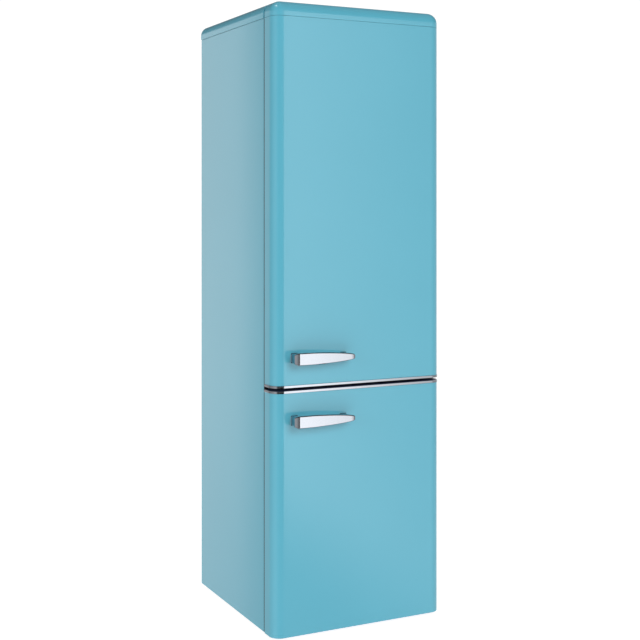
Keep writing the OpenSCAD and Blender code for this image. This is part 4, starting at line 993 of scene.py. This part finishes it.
# Soft dark grey vinyl: silky, with rub marks 25 mm long.
vinyl = patterned(shader("soft_grey_vinyl", "#4a4f52", roughness=0.5, sheen_weight=0.15),
    25, detail=3.0, tones=("#434849", "#55595b"))

seal_x, seal_w = 254, 16
for name, body, low, high in (("fridge_door_seal", "fridge_door", 729, 1752),
        ("freezer_door_seal", "freezer_door", 63, 703)):
    seal = piece(name, body, vinyl, crease=50)
    half = [(1.0, -6.95), (0.3, -6.6), (1.0, -5.9), (2.6, -5.5), (4.0, -5.2), (3.2, -4.6), (4.2, -4.0),
        (3.0, -3.5), (1.0, -3.3), (0.2, -2.6), (0, -1.6), (0.4, -0.6), (1.4, -0.3)]
    profile = half + [(seal_w - e, y) for e, y in reversed(half)]
    loft(seal, [window(seal_x - e, low + e, high - e, max(8 - e / 2, 1), y) for e, y in profile],
        closed=True)
    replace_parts(shade(seal), name.replace("_seal", "_gasket"))

# -- edge strips: painted shade
# Black rubber strips lie along the steel folds beside the seals, as painted shade that darkens the
# gap between doors and cabinet. The one on the hinge side is thin and set in, to clear the doors.

# dark strips standing in for shadow in the door gaps
strips = piece("flange_gap_shade_strips", "cabinet", rubber)
for x0, x1, thick in ((-side_x, -261, 5), (256, 266, 1.5)):
    bar(strips, (x0, -thick, foot_z + 1), (x1, 0, cap_z - 1), corner=0.5, edge=0.3)
shade(strips)

# -- door bins
# Clear bins hang by hooks on the inner panel's lugs: a deep one for bottles, two for jars, and one
# with a hinged cover for butter. Their front walls are lower and have a moulded rail.

bin_x, bin_y0, bin_y1 = 175, -5, 95
for name, node, levels, tall, front_tall in (("jar_bins", "door_bins", (1020, 1230), 80, 66),
        ("bottle_holder", "bottle_bin", (805,), 118, 96),
        ("butter_bin", "dairy_bin", (1480,), 66, 66)):
    holder = piece(name, "fridge_door", clear)

    def dip(y, fall=tall - front_tall):
        """How far the rim has come down at depth y: a soft slope behind the front corners."""
        t = min(max((y - 25) / 30, 0), 1)
        return fall * t * t * (3 - 2 * t)

    for z in levels:
        tub(holder, (-bin_x, bin_y0, z), (bin_x, bin_y1, z + tall), 12, 8, 2.4, draw=2, dip=dip)
        bar(holder, (-bin_x + 14, bin_y1 - 3.2, z + front_tall - 16),
            (bin_x - 14, bin_y1 - 0.2, z + front_tall - 10), "x", 1.3, 2)
        for x0, x1 in ((-179.4, -173.6), (173.6, 179.4)):
            bar(holder, (x0, 4, z + 34), (x1, 18, z + 39), "y", 1.2, 1.5)
    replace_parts(shade(holder), node)

# -- butter cover
# A clear hood closes the top bin. It turns on two pegs in the raised ring and stays up by itself.

cover = piece("butter_cover", "dairy_lid", clear)
lid_z, lid_low, lid_r, lid_t = 1596, 1480 + 66.6, 20, 2.2
lid_top, lid_front = lid_z + 2, 98
bend_y, bend_z, in_r = lid_front - lid_r, lid_top - lid_r, lid_r - lid_t
hood = [(0, lid_top - lid_t), (0, lid_top), (bend_y, lid_top)]
hood += [(bend_y + lid_r * s, bend_z + lid_r * c) for s, c in quarter(8)]
hood += [(lid_front, lid_low + 1), (lid_front - 0.5, lid_low), (lid_front - lid_t + 0.5, lid_low),
    (lid_front - lid_t, lid_low + 1)]
hood += [(bend_y + in_r * s, bend_z + in_r * c) for s, c in reversed(quarter(8))]
loft(cover, [sideways(hood, x) for x in (-174, 174)])
for x0, x1 in ((-173.9, -172), (172, 173.9)):
    cheek = [(30, lid_low + 10), (97, lid_low + 10)]
    cheek += [(bend_y + 19 * c, bend_z + 19 * s) for s, c in quarter(8)]
    cheek += [(10, lid_top - 1), (10, lid_low + 30)]
    cheek += [(10 + 20 * s, lid_low + 10 + 20 * c) for s, c in quarter(6)][1:-1]
    loft(cover, [sideways(cheek, x) for x in (x0, x1)])
pegs = mirrored([(2.6, -179.9), (3.0, -179.4), (3.0, -174), (3.2, -173.5)])
loft(cover, turned((0, 0, lid_z), "x", pegs, steps=24))
bar(cover, (-60, lid_front - 3, lid_low + 4), (60, lid_front - 0.2, lid_low + 10), "x", 1.2, 2)
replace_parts(shade(cover), "dairy_lid")
